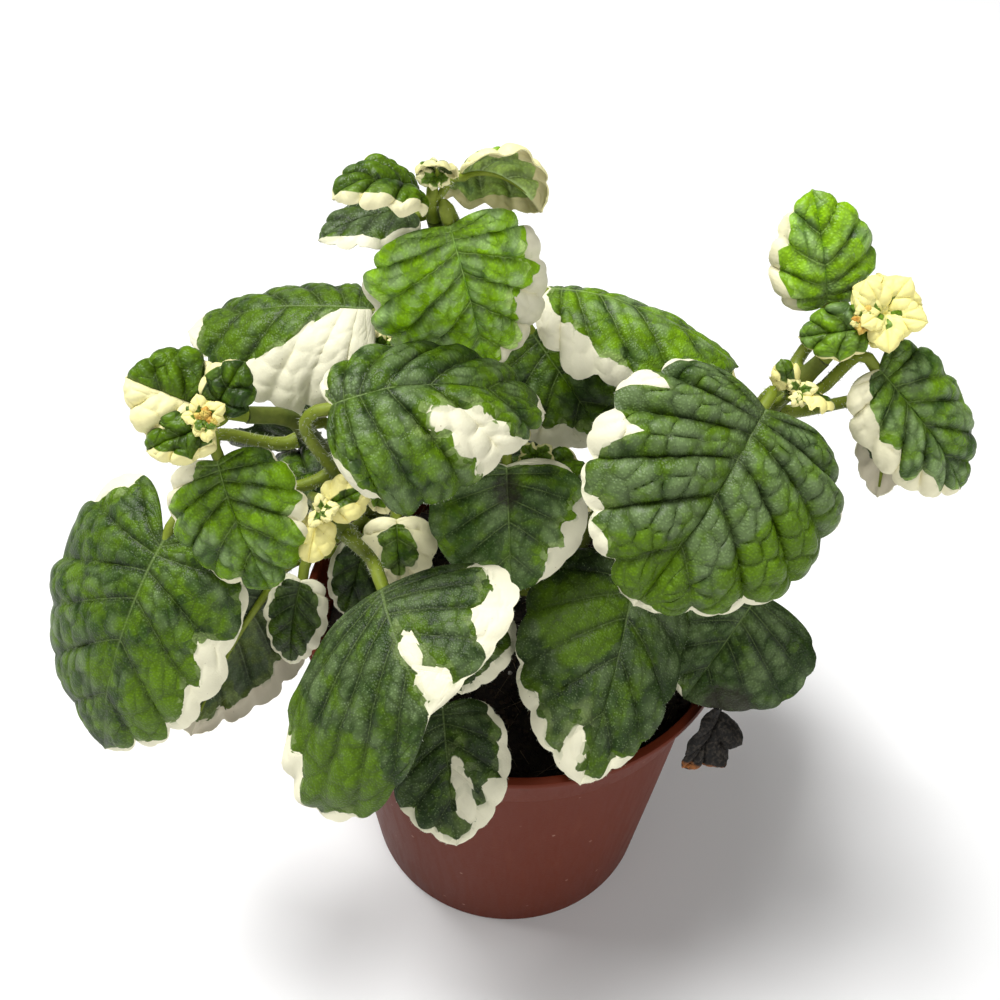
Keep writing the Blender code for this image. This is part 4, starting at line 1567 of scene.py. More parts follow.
LEAVES = (
    LeafForm(
        "leaf_top_front", "stem_top", 185, (-16, 0, 197), (-9, 8, 158), (-85, 38), 37, lobe=0.08,
        skew=0.1, quilt=1.05, rib=0.45, marking=Marking(
            margin(30, 0.1, 36, 0.3, 40, 2, 44, 2.5, 47, 0.4, 60, 0.2, 95, 0.2, 100, 0.6),
            margin(30, 0.2, 35, 2.5, 42, 4.5, 47, 3, 52, 6, 57, 6, 61, 10, 66, 10, 73, 5, 80, 4,
                   86, 5, 93, 2, 100, 0.6),
            light=0.5, grey=0.8, fuzz=0.2, tone=4.6)),
    LeafForm(
        "leaf_top_left", "stem_top", 184, (-24, 9, 194), (-41, 3, 191), (0, 90), 18, teeth=5,
        quilt=0.5, marking=Marking(left=even(0, 1, 2, 3, 3, 3, 2, 1), grain=0.6, grey=0.8)),
    LeafForm(
        "leaf_back_cream", "stem_top", 168, (-33, 9, 171), (-73, 14, 160), (-95, 80), 42, fold=-10,
        cup=60, skew=-0.1, quilt=0.55, marking=Marking(
            margin(80, 0.1, 90, 1.5, 95, 4, 100, 6),
            margin(0, 30, 50, 24, 58, 20, 64, 15, 69, 10, 73, 5, 77, 0.5, 86, 0.5, 92, 3, 100, 6),
            light=0.55, tone=1.35)),
    LeafForm(
        "leaf_left_low", "stem_left", 154, (-60, -23, 157), (-51, -33, 132), (-95, 25), 29,
        marking=Marking(
            margin(0, 0.5, 12, 2, 18, 4, 24, 6, 32, 5.5, 38, 3, 43, 1.2, 60, 0.4, 72, 0.6, 78, 2,
                   84, 2.7, 90, 0.8, 100, 0.4),
            margin(20, 0.3, 28, 1, 40, 0.6, 48, 1.2, 53, 3.5, 60, 3, 66, 0.8, 75, 0.3),
            light=0.5, youth=0.1, grain=0.7, tone=2.5, grey=0.45, fuzz=0.2)),
    LeafForm(
        "leaf_left_large", "stem_left", 140, (-74, -25, 136), (-91, -44, 88), (-112, 32), 53,
        curl=50, fold=-5, lobe=0.4, skew=0.12, quilt=0.6, rib=0.5, marking=Marking(
            margin(14, 0.2, 20, 5, 27, 5, 31, 0.4, 50, 0.1, 93, 0.2, 97, 1, 100, 0.8),
            margin(20, 0.3, 30, 0.8, 34, 2.5, 38, 0.8, 41, 1, 44, 6, 47, 10, 50, 10, 53, 7,
                   56, 4.5, 60, 7.5, 65, 4.5, 70, 3, 75, 0.8, 79, 2.5, 82, 3.5, 87, 0.8, 91, 2.5,
                   95, 2.5, 100, 0.6),
            bright=(Patch(34, -14, 12, 8),), light=0.4, fuzz=0.5, tone=1.35)),
    LeafForm(
        "leaf_left_under", "stem_left", 118, (-55, -18, 116), (-73, -40, 88), (60, 40), 36,
        quilt=0.6, marking=Marking(even(2, 4, 5, 4, 6, 5, 4, 3), even(3, 3, 5, 6, 4, 5, 5, 3))),
    LeafForm(
        "leaf_left_small", "stem_left", 124, (-48, -20, 119), (-51, -28, 100), (-100, 40), 15,
        quilt=0.6, marking=Marking(
            even(2.5, 3, 2.2, 3.2, 2.4, 1.8, 2, 1.5), even(2.5, 3.5, 3.6, 2.6, 3.2, 2, 1.5),
            grain=0.5, fuzz=0.2)),
    LeafForm("leaf_left_behind", "stem_left", 130, (-49, 6, 140), (-66, 8, 134), (-90, -40), 26,
             quilt=0.5),
    LeafForm(
        "leaf_centre", "stem_front_left", 139, (-37, -21, 171), (3, -10, 161), (-90, 75), 42,
        curl=80, fold=0, cup=60, skew=0.25, rib=0.45, quilt=0.9, taper=0.4, marking=Marking(
            margin(0, 1, 10, 0.8, 14, 2, 19, 4.5, 24, 4.5, 28, 2.5, 31, 0.4, 64, 0.2, 68, 5, 73, 7,
                   77, 5, 80, 2, 83, 0.4, 90, 0.4, 95, 2.5, 100, 3),
            margin(0, 3, 8, 3, 16, 5, 21, 5, 26, 2, 30, 0.4, 34, 0.8, 42, 0.2, 87, 0.2, 93, 2.5,
                   100, 3),
            cream=(Patch(22, 7.5, 5, 2.4), Patch(27, 9.5, 6, 4.2), Patch(31, 11.5, 4.5, 5)),
            light=0.35, grey=0.55, tone=1.5)),
    LeafForm(
        "leaf_centre_low", "stem_front", 132, (-4, -13, 149), (-2, -26, 125), (-90, 45), 34,
        quilt=0.4, tooth=0.25, marking=Marking(
            margin(0, 3, 6, 1, 10, 0.3, 100, 0.3),
            margin(0, 3, 10, 4.8, 20, 4.2, 26, 2, 30, 0.4, 39, 0.3, 43, 3, 48, 5, 52, 3.2, 56, 5.6,
                   61, 6.5, 66, 3.5, 71, 5.5, 78, 4.5, 84, 1.5, 90, 0.3, 100, 0.3),
            stain=(Patch(5, 0, 2.2, 1.8),), grey=0.45, light=0.2, fuzz=0.9, tone=2.2)),
    LeafForm(
        "leaf_cream_small", "stem_front_left", 122, (-27, -14, 133), (-26, -21, 119), (-90, 45),
        17, teeth=4, quilt=0.9, marking=Marking(
            even(7, 7, 6.5, 5.5, 6, 4.5, 4, 3), even(7, 6.5, 6, 6.5, 5, 4.5, 4, 3),
            youth=0.3, grain=0.5, fuzz=0.2, tone=1.8)),
    LeafForm(
        "leaf_front", "stem_front_left", 130, (-28, -36, 136), (-17, -60, 128), (-105, 45), 66,
        fold=-5, cup=25, lobe=0.05, skew=0.22, fan=1.1, quilt=0.5, rib=0.8, petiole=1.5, fine=0.5,
        tooth=0.55, marking=Marking(
            margin(30, 0.2, 33, 3, 37, 7, 42, 8, 46, 9.5, 49, 7.5, 52, 2, 56, 1.2, 60, 1, 64, 3.5,
                   69, 4, 73, 0.8, 80, 0.3, 96, 0.3, 100, 1),
            margin(20, 0.2, 27, 0.8, 31, 4.5, 36, 3.5, 42, 4.5, 48, 6, 55, 7, 59, 9.5, 64, 9,
                   68, 6, 73, 3.5, 78, 1, 83, 0.6, 88, 1.5, 93, 4, 100, 3),
            cream=(Patch(17, -1.8, 4.5, 1.7), Patch(23, -3.2, 4.5, 3.2)),
            bright=(Patch(36, 24, 12, 9), Patch(20, 32, 16, 6)), light=0.2, grey=0.55,
            fuzz=0.8, tone=1.1)),
    LeafForm(
        "leaf_front_hidden", "stem_front", 110, (-12, -22, 115), (-12, -39, 106), (-90, 60), 24,
        quilt=0.6, tooth=0.5, marking=Marking(
            even(0.5, 1, 2, 3, 1, 3, 2, 1), even(0.5, 1, 2, 3, 2, 4, 3, 2),
            grain=0.6)),
    LeafForm(
        "leaf_rim_left", "stem_front", 92, (-16, -40, 102), (-12, -62, 83), (-90, 50), 28,
        quilt=0.4, tooth=0.55, marking=Marking(
            margin(30, 0.2, 66, 0.3, 70, 2.8, 74, 2.5, 79, 0.8, 86, 2.5, 93, 2.5, 100, 1.5),
            margin(10, 0.3, 24, 0.8, 33, 3, 40, 2.2, 46, 3, 52, 5, 56, 3.5, 60, 1.8, 64, 5.5,
                   69, 7, 73, 3.5, 78, 5.5, 84, 2.5, 90, 2.5, 100, 1.5),
            cream=(Patch(15, -2.2, 4, 1.5), Patch(20, -3.2, 5, 2.2)), grey=0.3, light=0.15,
            grain=0.7, fuzz=1.0)),
    LeafForm(
        "leaf_rim_centre", "stem_front", 112, (25, -16, 122), (14, -53, 94), (-75, 50), 38,
        skew=0.2, quilt=0.5, tooth=0.6, marking=Marking(
            margin(30, 0.1, 50, 0.3, 56, 0.8, 60, 2, 65, 2.2, 69, 4.8, 73, 2.2, 77, 4.5, 81, 2,
                   86, 1.8, 91, 3, 96, 4, 100, 4),
            margin(70, 0.1, 76, 0.4, 80, 2.5, 84, 4.5, 87, 2.5, 91, 0.8, 100, 3),
            cream=(Patch(43, 4, 7, 2.3),), bright=(Patch(14, 10, 8, 7),), grey=0.4,
            light=0.25, fuzz=1.0)),
    LeafForm(
        "leaf_right_large", "stem_right", 158, (45, -15, 168), (22, -38, 136), (-70, 45), 56,
        quilt=1.15, rib=0.45, fine=0.5, marking=Marking(
            margin(18, 0.1, 22, 1.5, 27, 1.5, 30, 0.3, 32, 0.6, 34, 5, 36.5, 8, 38.5, 4, 41, 0.4,
                   44, 0.6, 46, 4, 48.5, 7, 51, 10, 53, 6.5, 56, 3, 59, 0.5, 63, 1.6, 67, 1, 69, 4,
                   71.5, 3.5, 74, 0.8, 77, 3.6, 81, 3.4, 84, 0.8, 90, 0.3, 95, 1.2, 100, 2.5),
            margin(30, 0.1, 36, 0.4, 38, 2.4, 41, 0.8, 45, 0.2, 58, 0.3, 66, 0.9, 70, 2.5, 75, 3.6,
                   78, 0.9, 81, 1.8, 85, 1.8, 88, 0.3, 92, 0.5, 95, 2.5, 100, 2.5),
            bright=(Patch(28, -18, 14, 7), Patch(41, 3, 9, 10)), grey=0.8, grain=0.7,
            fuzz=0.45, tone=1.4)),
    LeafForm(
        "leaf_back_ridge", "stem_top", 168, (4, 17, 172), (44, 8, 160), (90, 75), 40, fold=-15,
        cup=60, quilt=0.7, marking=Marking(
            margin(0, 3, 10, 5, 16, 8, 25, 8.5, 32, 8, 38, 10, 45, 8, 50, 7, 55, 5.5, 59, 2.5,
                   64, 1, 70, 0.3),
            margin(0, 2, 10, 3, 15, 1, 25, 0.2),
            light=0.5, grey=0.55, tone=2.3)),
    LeafForm(
        "leaf_back_centre", "stem_top", 150, (1, 17, 160), (18, 6, 140), (-105, 50), 34, teeth=5,
        quilt=0.6, tooth=0.5, marking=Marking(
            margin(10, 0.3, 24, 1.5, 29, 4, 35, 6, 42, 8, 47, 6.5, 55, 9, 62, 7, 70, 5.5, 78, 6.5,
                   86, 5, 94, 3, 100, 1.5),
            margin(70, 0.1, 90, 1.2, 100, 1.2),
            light=0.4, tone=1.7)),
    LeafForm(
        "leaf_right_fallen", "stem_right", 130, (52, -20, 120), (38, -31, 96), (-90, 60), 34,
        cup=20, lobe=0.05, skew=-0.15, quilt=0.45, rib=0.5, tooth=0.4, marking=Marking(
            right=margin(82, 0.1, 88, 2, 94, 1.8, 100, 0.2),
            stain=(Patch(26, -9, 5, 5),), grey=0.5, light=0.05, fuzz=0.5, tone=1.35)),
    LeafForm("leaf_withered", "stem_right", 102, (46, -33, 94), (38, -42, 85), (-60, 30), 12,
             fold=5, cup=-20, teeth=4, lobe=0.05, skew=-0.25, petiole=1.0, quilt=0.9, wave=1.6,
             fine=0.45),
    LeafForm(
        "leaf_right_tip", "stem_right", 168, (57, 2, 182), (52, 12, 200), (-95, 45), 21, teeth=5,
        quilt=1.1, marking=Marking(
            margin(35, 0.1, 42, 0.5, 50, 0.1),
            margin(10, 0.4, 20, 2, 28, 3, 36, 4, 43, 3.6, 48, 2.4, 54, 3.5, 61, 2, 66, 3, 73, 3.4,
                   80, 1.2, 88, 0.4),
            light=0.55, youth=0.25, grain=0.45, grey=0.6, fuzz=0.2, tone=3.8)),
    LeafForm(
        "leaf_right_outer", "stem_right", 167, (67, -9, 174), (90, -12, 146), (-75, 35), 25,
        cup=45, marking=Marking(
            right=margin(0, 1.5, 10, 3, 20, 4.8, 28, 5.6, 34, 5.6, 42, 6.6, 46, 5, 51, 7.5,
                         57, 7.5, 60, 4, 65, 2.8, 70, 6, 77, 6.5, 81, 3, 88, 2.8, 94, 2.6, 100, 1),
            youth=0.15, grain=0.45, grey=0.5, tone=2.4)),
    LeafForm(
        "leaf_right_hanging", "stem_right", 160, (76, 0, 152), (76, -7, 138), (60, -30), 12,
        teeth=4, quilt=0.6, marking=Marking(CREAM_ALL, even(9, 5, 3, 3, 4, 7, 9), grain=0.2)),
    LeafForm(
        "leaf_inner_dark", "stem_front_left", 108, (-35, -10, 121), (-40, -17, 105), (-70, 45), 13,
        teeth=4, quilt=0.5, marking=Marking(right=even(1, 1.5, 2, 2, 2, 1), grain=0.4)),
)


def far_side(forms: tuple) -> tuple:
    """Give leaf forms random margins and colours of their own.

    Args:
        forms: The forms, which have none yet.

    Returns:
        The forms with their markings.
    """
    random = np.random.default_rng(FAR_SIDE_SEED)
    marked = []
    for form in forms:
        depth = form.width * 0.22
        keys = random.uniform(0, 1, (2, 14)) ** 2.2 * depth
        keys[:, :2] = 0.1
        keys[random.integers(0, 2), random.integers(6, 12)] += depth
        marking = Marking(even(*keys[0]), even(*keys[1]), grain=0.7,
                          light=float(random.uniform(0.3, 0.6)),
                          grey=float(random.uniform(0.0, 0.7)))
        marked.append(replace(form, marking=marking, quilt=float(random.uniform(0.7, 1.1)),
                              fine=0.8))
    return tuple(marked)


BACK_LEAVES = far_side((
    LeafForm("leaf_back_a", "stem_back_right", 116, (38, 40, 126), (58, 58, 98), (45, 45), 44),
    LeafForm("leaf_back_b", "stem_back_right", 122, (22, 46, 134), (20, 68, 112), (90, 50), 40),
    LeafForm("leaf_back_c", "stem_back_right", 104, (44, 22, 112), (72, 30, 92), (15, 50), 40),
    LeafForm("leaf_back_d", "stem_back_left", 114, (-44, 45, 118), (-63, 62, 92), (130, 45), 44),
    LeafForm("leaf_back_e", "stem_back_left", 122, (-18, 51, 134), (-15, 71, 112), (90, 50), 36),
    LeafForm("leaf_back_f", "stem_back_left", 104, (-46, 24, 110), (-76, 28, 92), (165, 50), 42),
    LeafForm("leaf_back_g", "stem_back_left", 98, (-8, 40, 98), (-2, 66, 84), (90, 50), 36),
    LeafForm("leaf_back_h", "stem_top", 136, (-8, 25, 152), (-4, 46, 133), (90, 50), 34),
    LeafForm("leaf_back_i", "stem_right", 132, (37, 9, 144), (55, 24, 125), (50, 50), 32),
    LeafForm("leaf_back_j", "stem_left", 126, (-36, 19, 139), (-54, 34, 126), (130, 60), 26),
))


def young(
    base: tuple, tip: tuple, facing: tuple, width: float, height: float, teeth: int = 3,
    **more: object,
) -> LeafForm:
    """Return a young leaf's form.

    Args:
        base: Where its blade starts.
        tip: Where its blade ends.
        facing: The heading and rise of its upper face.
        width: Its greatest width.
        height: The height where it springs from the shoot.
        teeth: How many teeth each edge has.
        more: Other sizes, in place of a young leaf's usual ones.

    Returns:
        The form.
    """
    sizes = {"rib": 0.3, "petiole": 0.8, "fine": 0.36, "marking": YOUNG_MARKS, **more}
    return LeafForm("young", "", height, base, tip, facing, width, teeth=teeth, **sizes)


YELLOW = replace(YOUNG_MARKS, right=CREAM_ALL, left=CREAM_ALL, youth=1.0)
HALF_CREAM = replace(YOUNG_MARKS, left=CREAM_ALL, youth=0.6, light=0.5, grain=0.8,
                     right=margin(0, 6, 30, 5, 38, 0.6, 70, 0.3, 100, 1))
EDGE_BELOW = replace(YOUNG_MARKS, right=even(0.3, 0.3, 0.6, 0.8), left=even(3, 3.4, 2.4, 3, 2),
                     youth=0.75)
ARCHED = replace(YOUNG_MARKS, right=margin(0, 0.3, 35, 0.5, 50, 2, 60, 0.5, 100, 1),
                 left=even(0.5, 1.5, 2.5, 3, 2.5, 1.5), youth=0.35, light=0.55)
HOOD = replace(YOUNG_MARKS, right=even(2, 3, 4, 3, 3), left=even(2, 3, 2, 3, 3), youth=0.6,
               light=0.7, grey=0.2, tone=3.2)
DOTTED = replace(YELLOW, green=(Patch(4.5, 0, 3.6, 1.3),))
DULL = replace(YOUNG_MARKS, right=even(0.3, 0.3, 0.4, 0.4), left=even(0.6, 1.2, 1.2, 0.8),
               light=0.45, grey=0.4, tone=2.6)
EDGE_ABOVE = replace(YOUNG_MARKS, left=even(2, 2.5, 1.5, 0.4), right=even(0.3, 0.3, 0.3, 0.3),
                     light=0.4)

SHOOTS = (
    ShootForm("shoot_top", "stem_top", None, (-19, 0, 208), leaves=(
        young((-22, 1, 203), (-36, -7, 206), (-90, 78), 15, 201, 4, curl=80, marking=ARCHED),
        young((-14, 3, 206), (1, 6, 197), (75, 15), 20, 201, 4, curl=90, marking=HOOD),
        young((-18, -1, 208), (-18, -5, 212), (-90, 70), 8, 206, 3, curl=20),
    ), sprigs=(Sprig((-18.5, -1.5, 208), 3.2, 4, 0.6, 0.5),)),
    ShootForm("shoot_right", "stem_right", None, (61, -5, 184), leaves=(
        young((61, -5, 184), (73, -4, 186), (-90, 45), 14, 180, 4, marking=YELLOW, quilt=1.6,
              wave=1.6),
        young((62, -8, 183), (51, -6, 179), (-90, 40), 11, 179, 4, marking=DULL, quilt=1.5),
    ), sprigs=(Sprig((65, -7, 185.5), 6.8, 7, 1.0, 1.0),
               Sprig((61, -9, 185.5), 2.2, 7, 1.0, 1.0, budded=True))),
    ShootForm("shoot_axil", "stem_right", 163, (52, -9, 169), 1.1, 0.8, leaves=(
        young((50, -9, 170), (48, -8, 175), (-90, 30), 6, 167, marking=DOTTED),
        young((53, -11, 168), (59, -12, 166), (90, 70), 8, 167, marking=DOTTED),
    ), sprigs=(Sprig((52, -10.5, 169.5), 3.0, 4, 0.8, 0.8),)),
    ShootForm("shoot_left", "stem_left", None, (-61, -23, 170), leaves=(
        young((-61, -22, 170), (-75, -20, 175), (-90, 45), 20, 168, 4, marking=HALF_CREAM,
              quilt=1.2),
        young((-58, -22, 171), (-53, -18, 178), (-90, 45), 11, 169, quilt=1.3, marking=EDGE_ABOVE),
        young((-60, -25, 168), (-71, -29, 165), (-90, 45), 11, 168, quilt=1.6, marking=EDGE_BELOW),
    ), sprigs=(Sprig((-60, -25.5, 170), 4.4, 6, 0.85, 0.95),
               Sprig((-59.5, -26.5, 171), 2.2, 5, 0.6, 1.0, budded=True))),
    ShootForm("shoot_inner", "stem_front_left", None, (-40, -25, 149), leaves=(
        young((-39, -25, 148), (-31, -22, 151), (-90, 45), 10, 146, marking=DOTTED),
        young((-41, -27, 146), (-43, -31, 138), (-90, 45), 9, 146, marking=YELLOW),
    ), sprigs=(Sprig((-40, -27, 148.5), 3.0, 4, 0.9, 0.8),
               Sprig((-30, -18, 146.5), 5.6, 6, 0.45, 0.6, (-39, -17, 139)))),
    ShootForm("shoot_front", "stem_front", None, (2, -6, 146), leaves=(
        young((4, -8, 146), (14, -13, 137), (-60, 55), 13, 144),
        young((-1, -4, 148), (-12, 2, 150), (100, 60), 13, 145),
    ), sprigs=(Sprig((2, -7.5, 147), 4.4, 5, 0.5, 0.7),)),
    ShootForm("shoot_back_right", "stem_back_right", None, (33, 38, 133), leaves=(
        young((36, 36, 136), (50, 32, 138), (-90, 70), 14, 130),
        young((31, 42, 136), (24, 56, 140), (90, 60), 14, 130),
        young((33, 39, 138), (31, 38, 148), (-90, 30), 7, 131),
    ), sprigs=(Sprig((33, 38, 137), 4.0, 5, 0.6, 0.7),)),
    ShootForm("shoot_back_left", "stem_back_left", None, (-35, 42, 131), leaves=(
        young((-38, 40, 136), (-52, 34, 138), (-90, 70), 14, 130),
        young((-34, 46, 134), (-40, 60, 136), (90, 60), 14, 130),
        young((-36, 43, 135), (-39, 41, 142), (-90, 30), 7, 129),
    ), sprigs=(Sprig((-35, 42, 136), 4.0, 5, 0.6, 0.7),)),
)


@dataclass
class Foliage:
    """All the plant's leaves, stems and shoots."""

    paints: Paints
    hairs: HairMaker
    stem_step: float = 3.0
    soil_height: float = 82.0
    root_depth: float = 14.0
    root_rise: float = 3.0
    cad_step: float = 12.0
    node_swell: float = 0.28
    node_reach: float = 2.2
    stem_hairs: float = 10.0
    sprig_turn: float = 2.4
    buried: float = 0.14
    stems: tuple = STEMS
    leaves: tuple = LEAVES + BACK_LEAVES
    shoots: tuple = SHOOTS

    def build_sprig(self, sprig: Sprig, number: int) -> list:
        """Build a tuft of tiny leaves around a shoot's growing point.

        Args:
            sprig: Its sizes.
            number: Its own number.

        Returns:
            The meshes of its leaves and of its stalk, if it has one.
        """
        random = np.random.default_rng(SPRIG_SEED + number)
        centre = np.array(sprig.place, float)
        pieces = []
        facing = direction(-90, 45)
        side = np.array([1.0, 0.0, 0.0])
        above = np.cross(facing, side)
        for index in range(sprig.count):
            turn = index * self.sprig_turn + random.uniform(-0.3, 0.3) + number
            lift = random.uniform(0.25, 0.75)
            away = unit(math.cos(turn) * side + math.sin(turn) * above + lift * facing)
            length = sprig.size * random.uniform(0.75, 1.15)
            base = centre + away * 0.5
            tip = base + away * length
            normal = unit(facing - 0.6 * away + 0.2 * random.normal(0, 1, 3))
            heading = math.degrees(math.atan2(normal[1], normal[0]))
            rise = math.degrees(math.asin(normal[2]))
            depth = sprig.yellow * length * 0.55
            marking = replace(
                YOUNG_MARKS, right=even(depth, depth * 1.2, depth, depth),
                left=even(depth * 1.1, depth, depth * 0.8, depth), youth=sprig.youth, grain=0.2,
                light=1.0, tone=2.4)
            form = LeafForm(
                "sprig", "", 0, tuple(base), tuple(tip), (heading, rise), length * 0.95, curl=50,
                cup=30, teeth=3, lobe=0.05, quilt=0.7, rib=0.15, fine=0.33, petiole=0.35,
                wave=0.9, marking=marking)
            blade = Blade(form, 300 + number * 10 + index)
            bud = sprig.budded and index % 2 == 0
            upper = self.paints.bud if bud else self.paints.upper
            pieces.append(blade.build(upper, upper if bud else self.paints.under))
            route = np.linspace(centre - facing * 0.6, base + away * 0.4, 4)
            pieces.append(Tube(route, np.linspace(0.5, 0.3, 4)).build(
                "sprig_stalk", self.paints.stalk, 8))
        if sprig.spring:
            start = np.array(sprig.spring, float)
            bend = (start, start + (3, 0, 4), centre - (2, 0, 1), centre)
            route = bezier(bend, np.linspace(0, 1, 8))
            pieces.append(Tube(route, np.linspace(1.0, 0.7, 8)).build(
                "sprig_stem", self.paints.stalk, 8))
        return pieces

    @staticmethod
    def smooth_route(points: tuple, step: float) -> Array:
        """Return a Catmull-Rom curve through points.

        Args:
            points: The points, one after another.
            step: About how far apart its cuts are, in millimetres.

        Returns:
            One row for each cut.
        """
        points = [np.array(point, float) for point in points]
        points = [2 * points[0] - points[1], *points, 2 * points[-1] - points[-2]]
        route = []
        for a, b, c, d in zip(points, points[1:], points[2:], points[3:]):
            count = max(1, round(np.linalg.norm(c - b) / step))
            for number in range(count):
                t = number / count
                route.append(0.5 * (
                    2 * b + (c - a) * t + (2 * a - 5 * b + 4 * c - d) * t**2
                    + (3 * b - a - 3 * c + d) * t**3
                ))
        return np.array([*route, points[-2]])

    def stem_axis(self, stem: StemForm, step: float) -> Axis:
        """Return a stem's axis: straight up out of its hole, then through its points.

        Args:
            stem: The stem's sizes.
            step: About how far apart the axis's points are, in millimetres.

        Returns:
            The axis.
        """
        x, y = stem.foot
        root = ((x, y, self.soil_height - self.root_depth), (x, y, self.soil_height
                                                             + self.root_rise))
        route = self.smooth_route((*root, *stem.route), step)
        headings = units(np.gradient(route, axis=0))
        return Axis(route, headings, np.linspace(stem.radius, stem.end_radius, len(route)))

    def shoot_axis(self, shoot: ShootForm, axis: Axis) -> Axis:
        """Return a shoot's axis, seated on its stem's end or side.

        Args:
            shoot: The shoot's sizes.
            axis: Its stem's axis.

        Returns:
            The shoot's own axis.
        """
        end = np.array(shoot.end, float)
        if shoot.height is None:
            outward = axis.headings[-1]
            foot = axis.route[-1] + outward * Axis.CLEARANCE
        else:
            foot, outward = axis.springing(shoot.height, end, Axis.CLEARANCE)
        lead = np.linalg.norm(end - foot) / 3
        curve = (foot, foot + outward * lead, end - unit(end - foot) * lead, end)
        route = bezier(curve, np.linspace(0, 1, 8))
        headings = units(np.gradient(route, axis=0))
        return Axis(route, headings, np.linspace(shoot.radius, shoot.end_radius, 8))

    def build_stem(self, stem: StemForm, heights: list) -> None:
        """Build one stem, swollen a little where leaves spring, with its hairs.

        Args:
            stem: Its sizes.
            heights: The heights where its leaves spring.
        """
        axis = self.stem_axis(stem, self.stem_step)
        radii = axis.radii.copy()
        for height in heights:
            bump = ((axis.route[:, 2] - height) / self.node_reach) ** 2
            radii += self.node_swell * np.exp(-bump)
        tube = Tube(axis.route, radii)
        random = np.random.default_rng(sum(map(ord, stem.name)))
        piece = tube.build(stem.name, self.paints.stem, 16)
        span = np.linalg.norm(np.diff(axis.route, axis=0), axis=1).sum()
        places, outward = tube.surface(random, round(span * self.stem_hairs), self.buried)
        hairs = self.hairs.grow("stem_hairs", places, outward, random)
        piece = join([piece, hairs], stem.name + "_grown")
        shade(piece, 60)
        finish_piece(piece, Slot.STEM, stem.name)

    def build(self) -> None:
        """Build every stem, leaf and shoot."""
        axes = {stem.name: self.stem_axis(stem, self.cad_step) for stem in self.stems}
        for stem in self.stems:
            heights = [leaf.height for leaf in self.leaves if leaf.stem == stem.name]
            self.build_stem(stem, heights)
        for number, form in enumerate(self.leaves):
            dry = form.name == "leaf_withered"
            leaf = Leaf(form, axes[form.stem], Axis.CLEARANCE, number)
            pieces = leaf.build(self.paints, None if dry else self.hairs,
                                self.paints.dry if dry else None)
            piece = join(pieces, form.name + "_grown")
            shade(piece, 70)
            finish_piece(piece, Slot.DRY_LEAF if dry else Slot.LEAF, form.name)
        seed = 100
        for shoot in self.shoots:
            axis = self.shoot_axis(shoot, axes[shoot.stem])
            pieces = [Tube(axis.route, axis.radii).build(shoot.name, self.paints.stalk, 12)]
            for form in shoot.leaves:
                seed += 1
                leaf = Leaf(form, axis, -shoot.radius, seed)
                pieces += leaf.build(self.paints, self.hairs)
            for sprig in shoot.sprigs:
                seed += 1
                pieces += self.build_sprig(sprig, seed)
            piece = join(pieces, shoot.name + "_grown")
            shade(piece, 70)
            finish_piece(piece, Slot.YOUNG_LEAF, shoot.name)


# ---- The pot and its soil


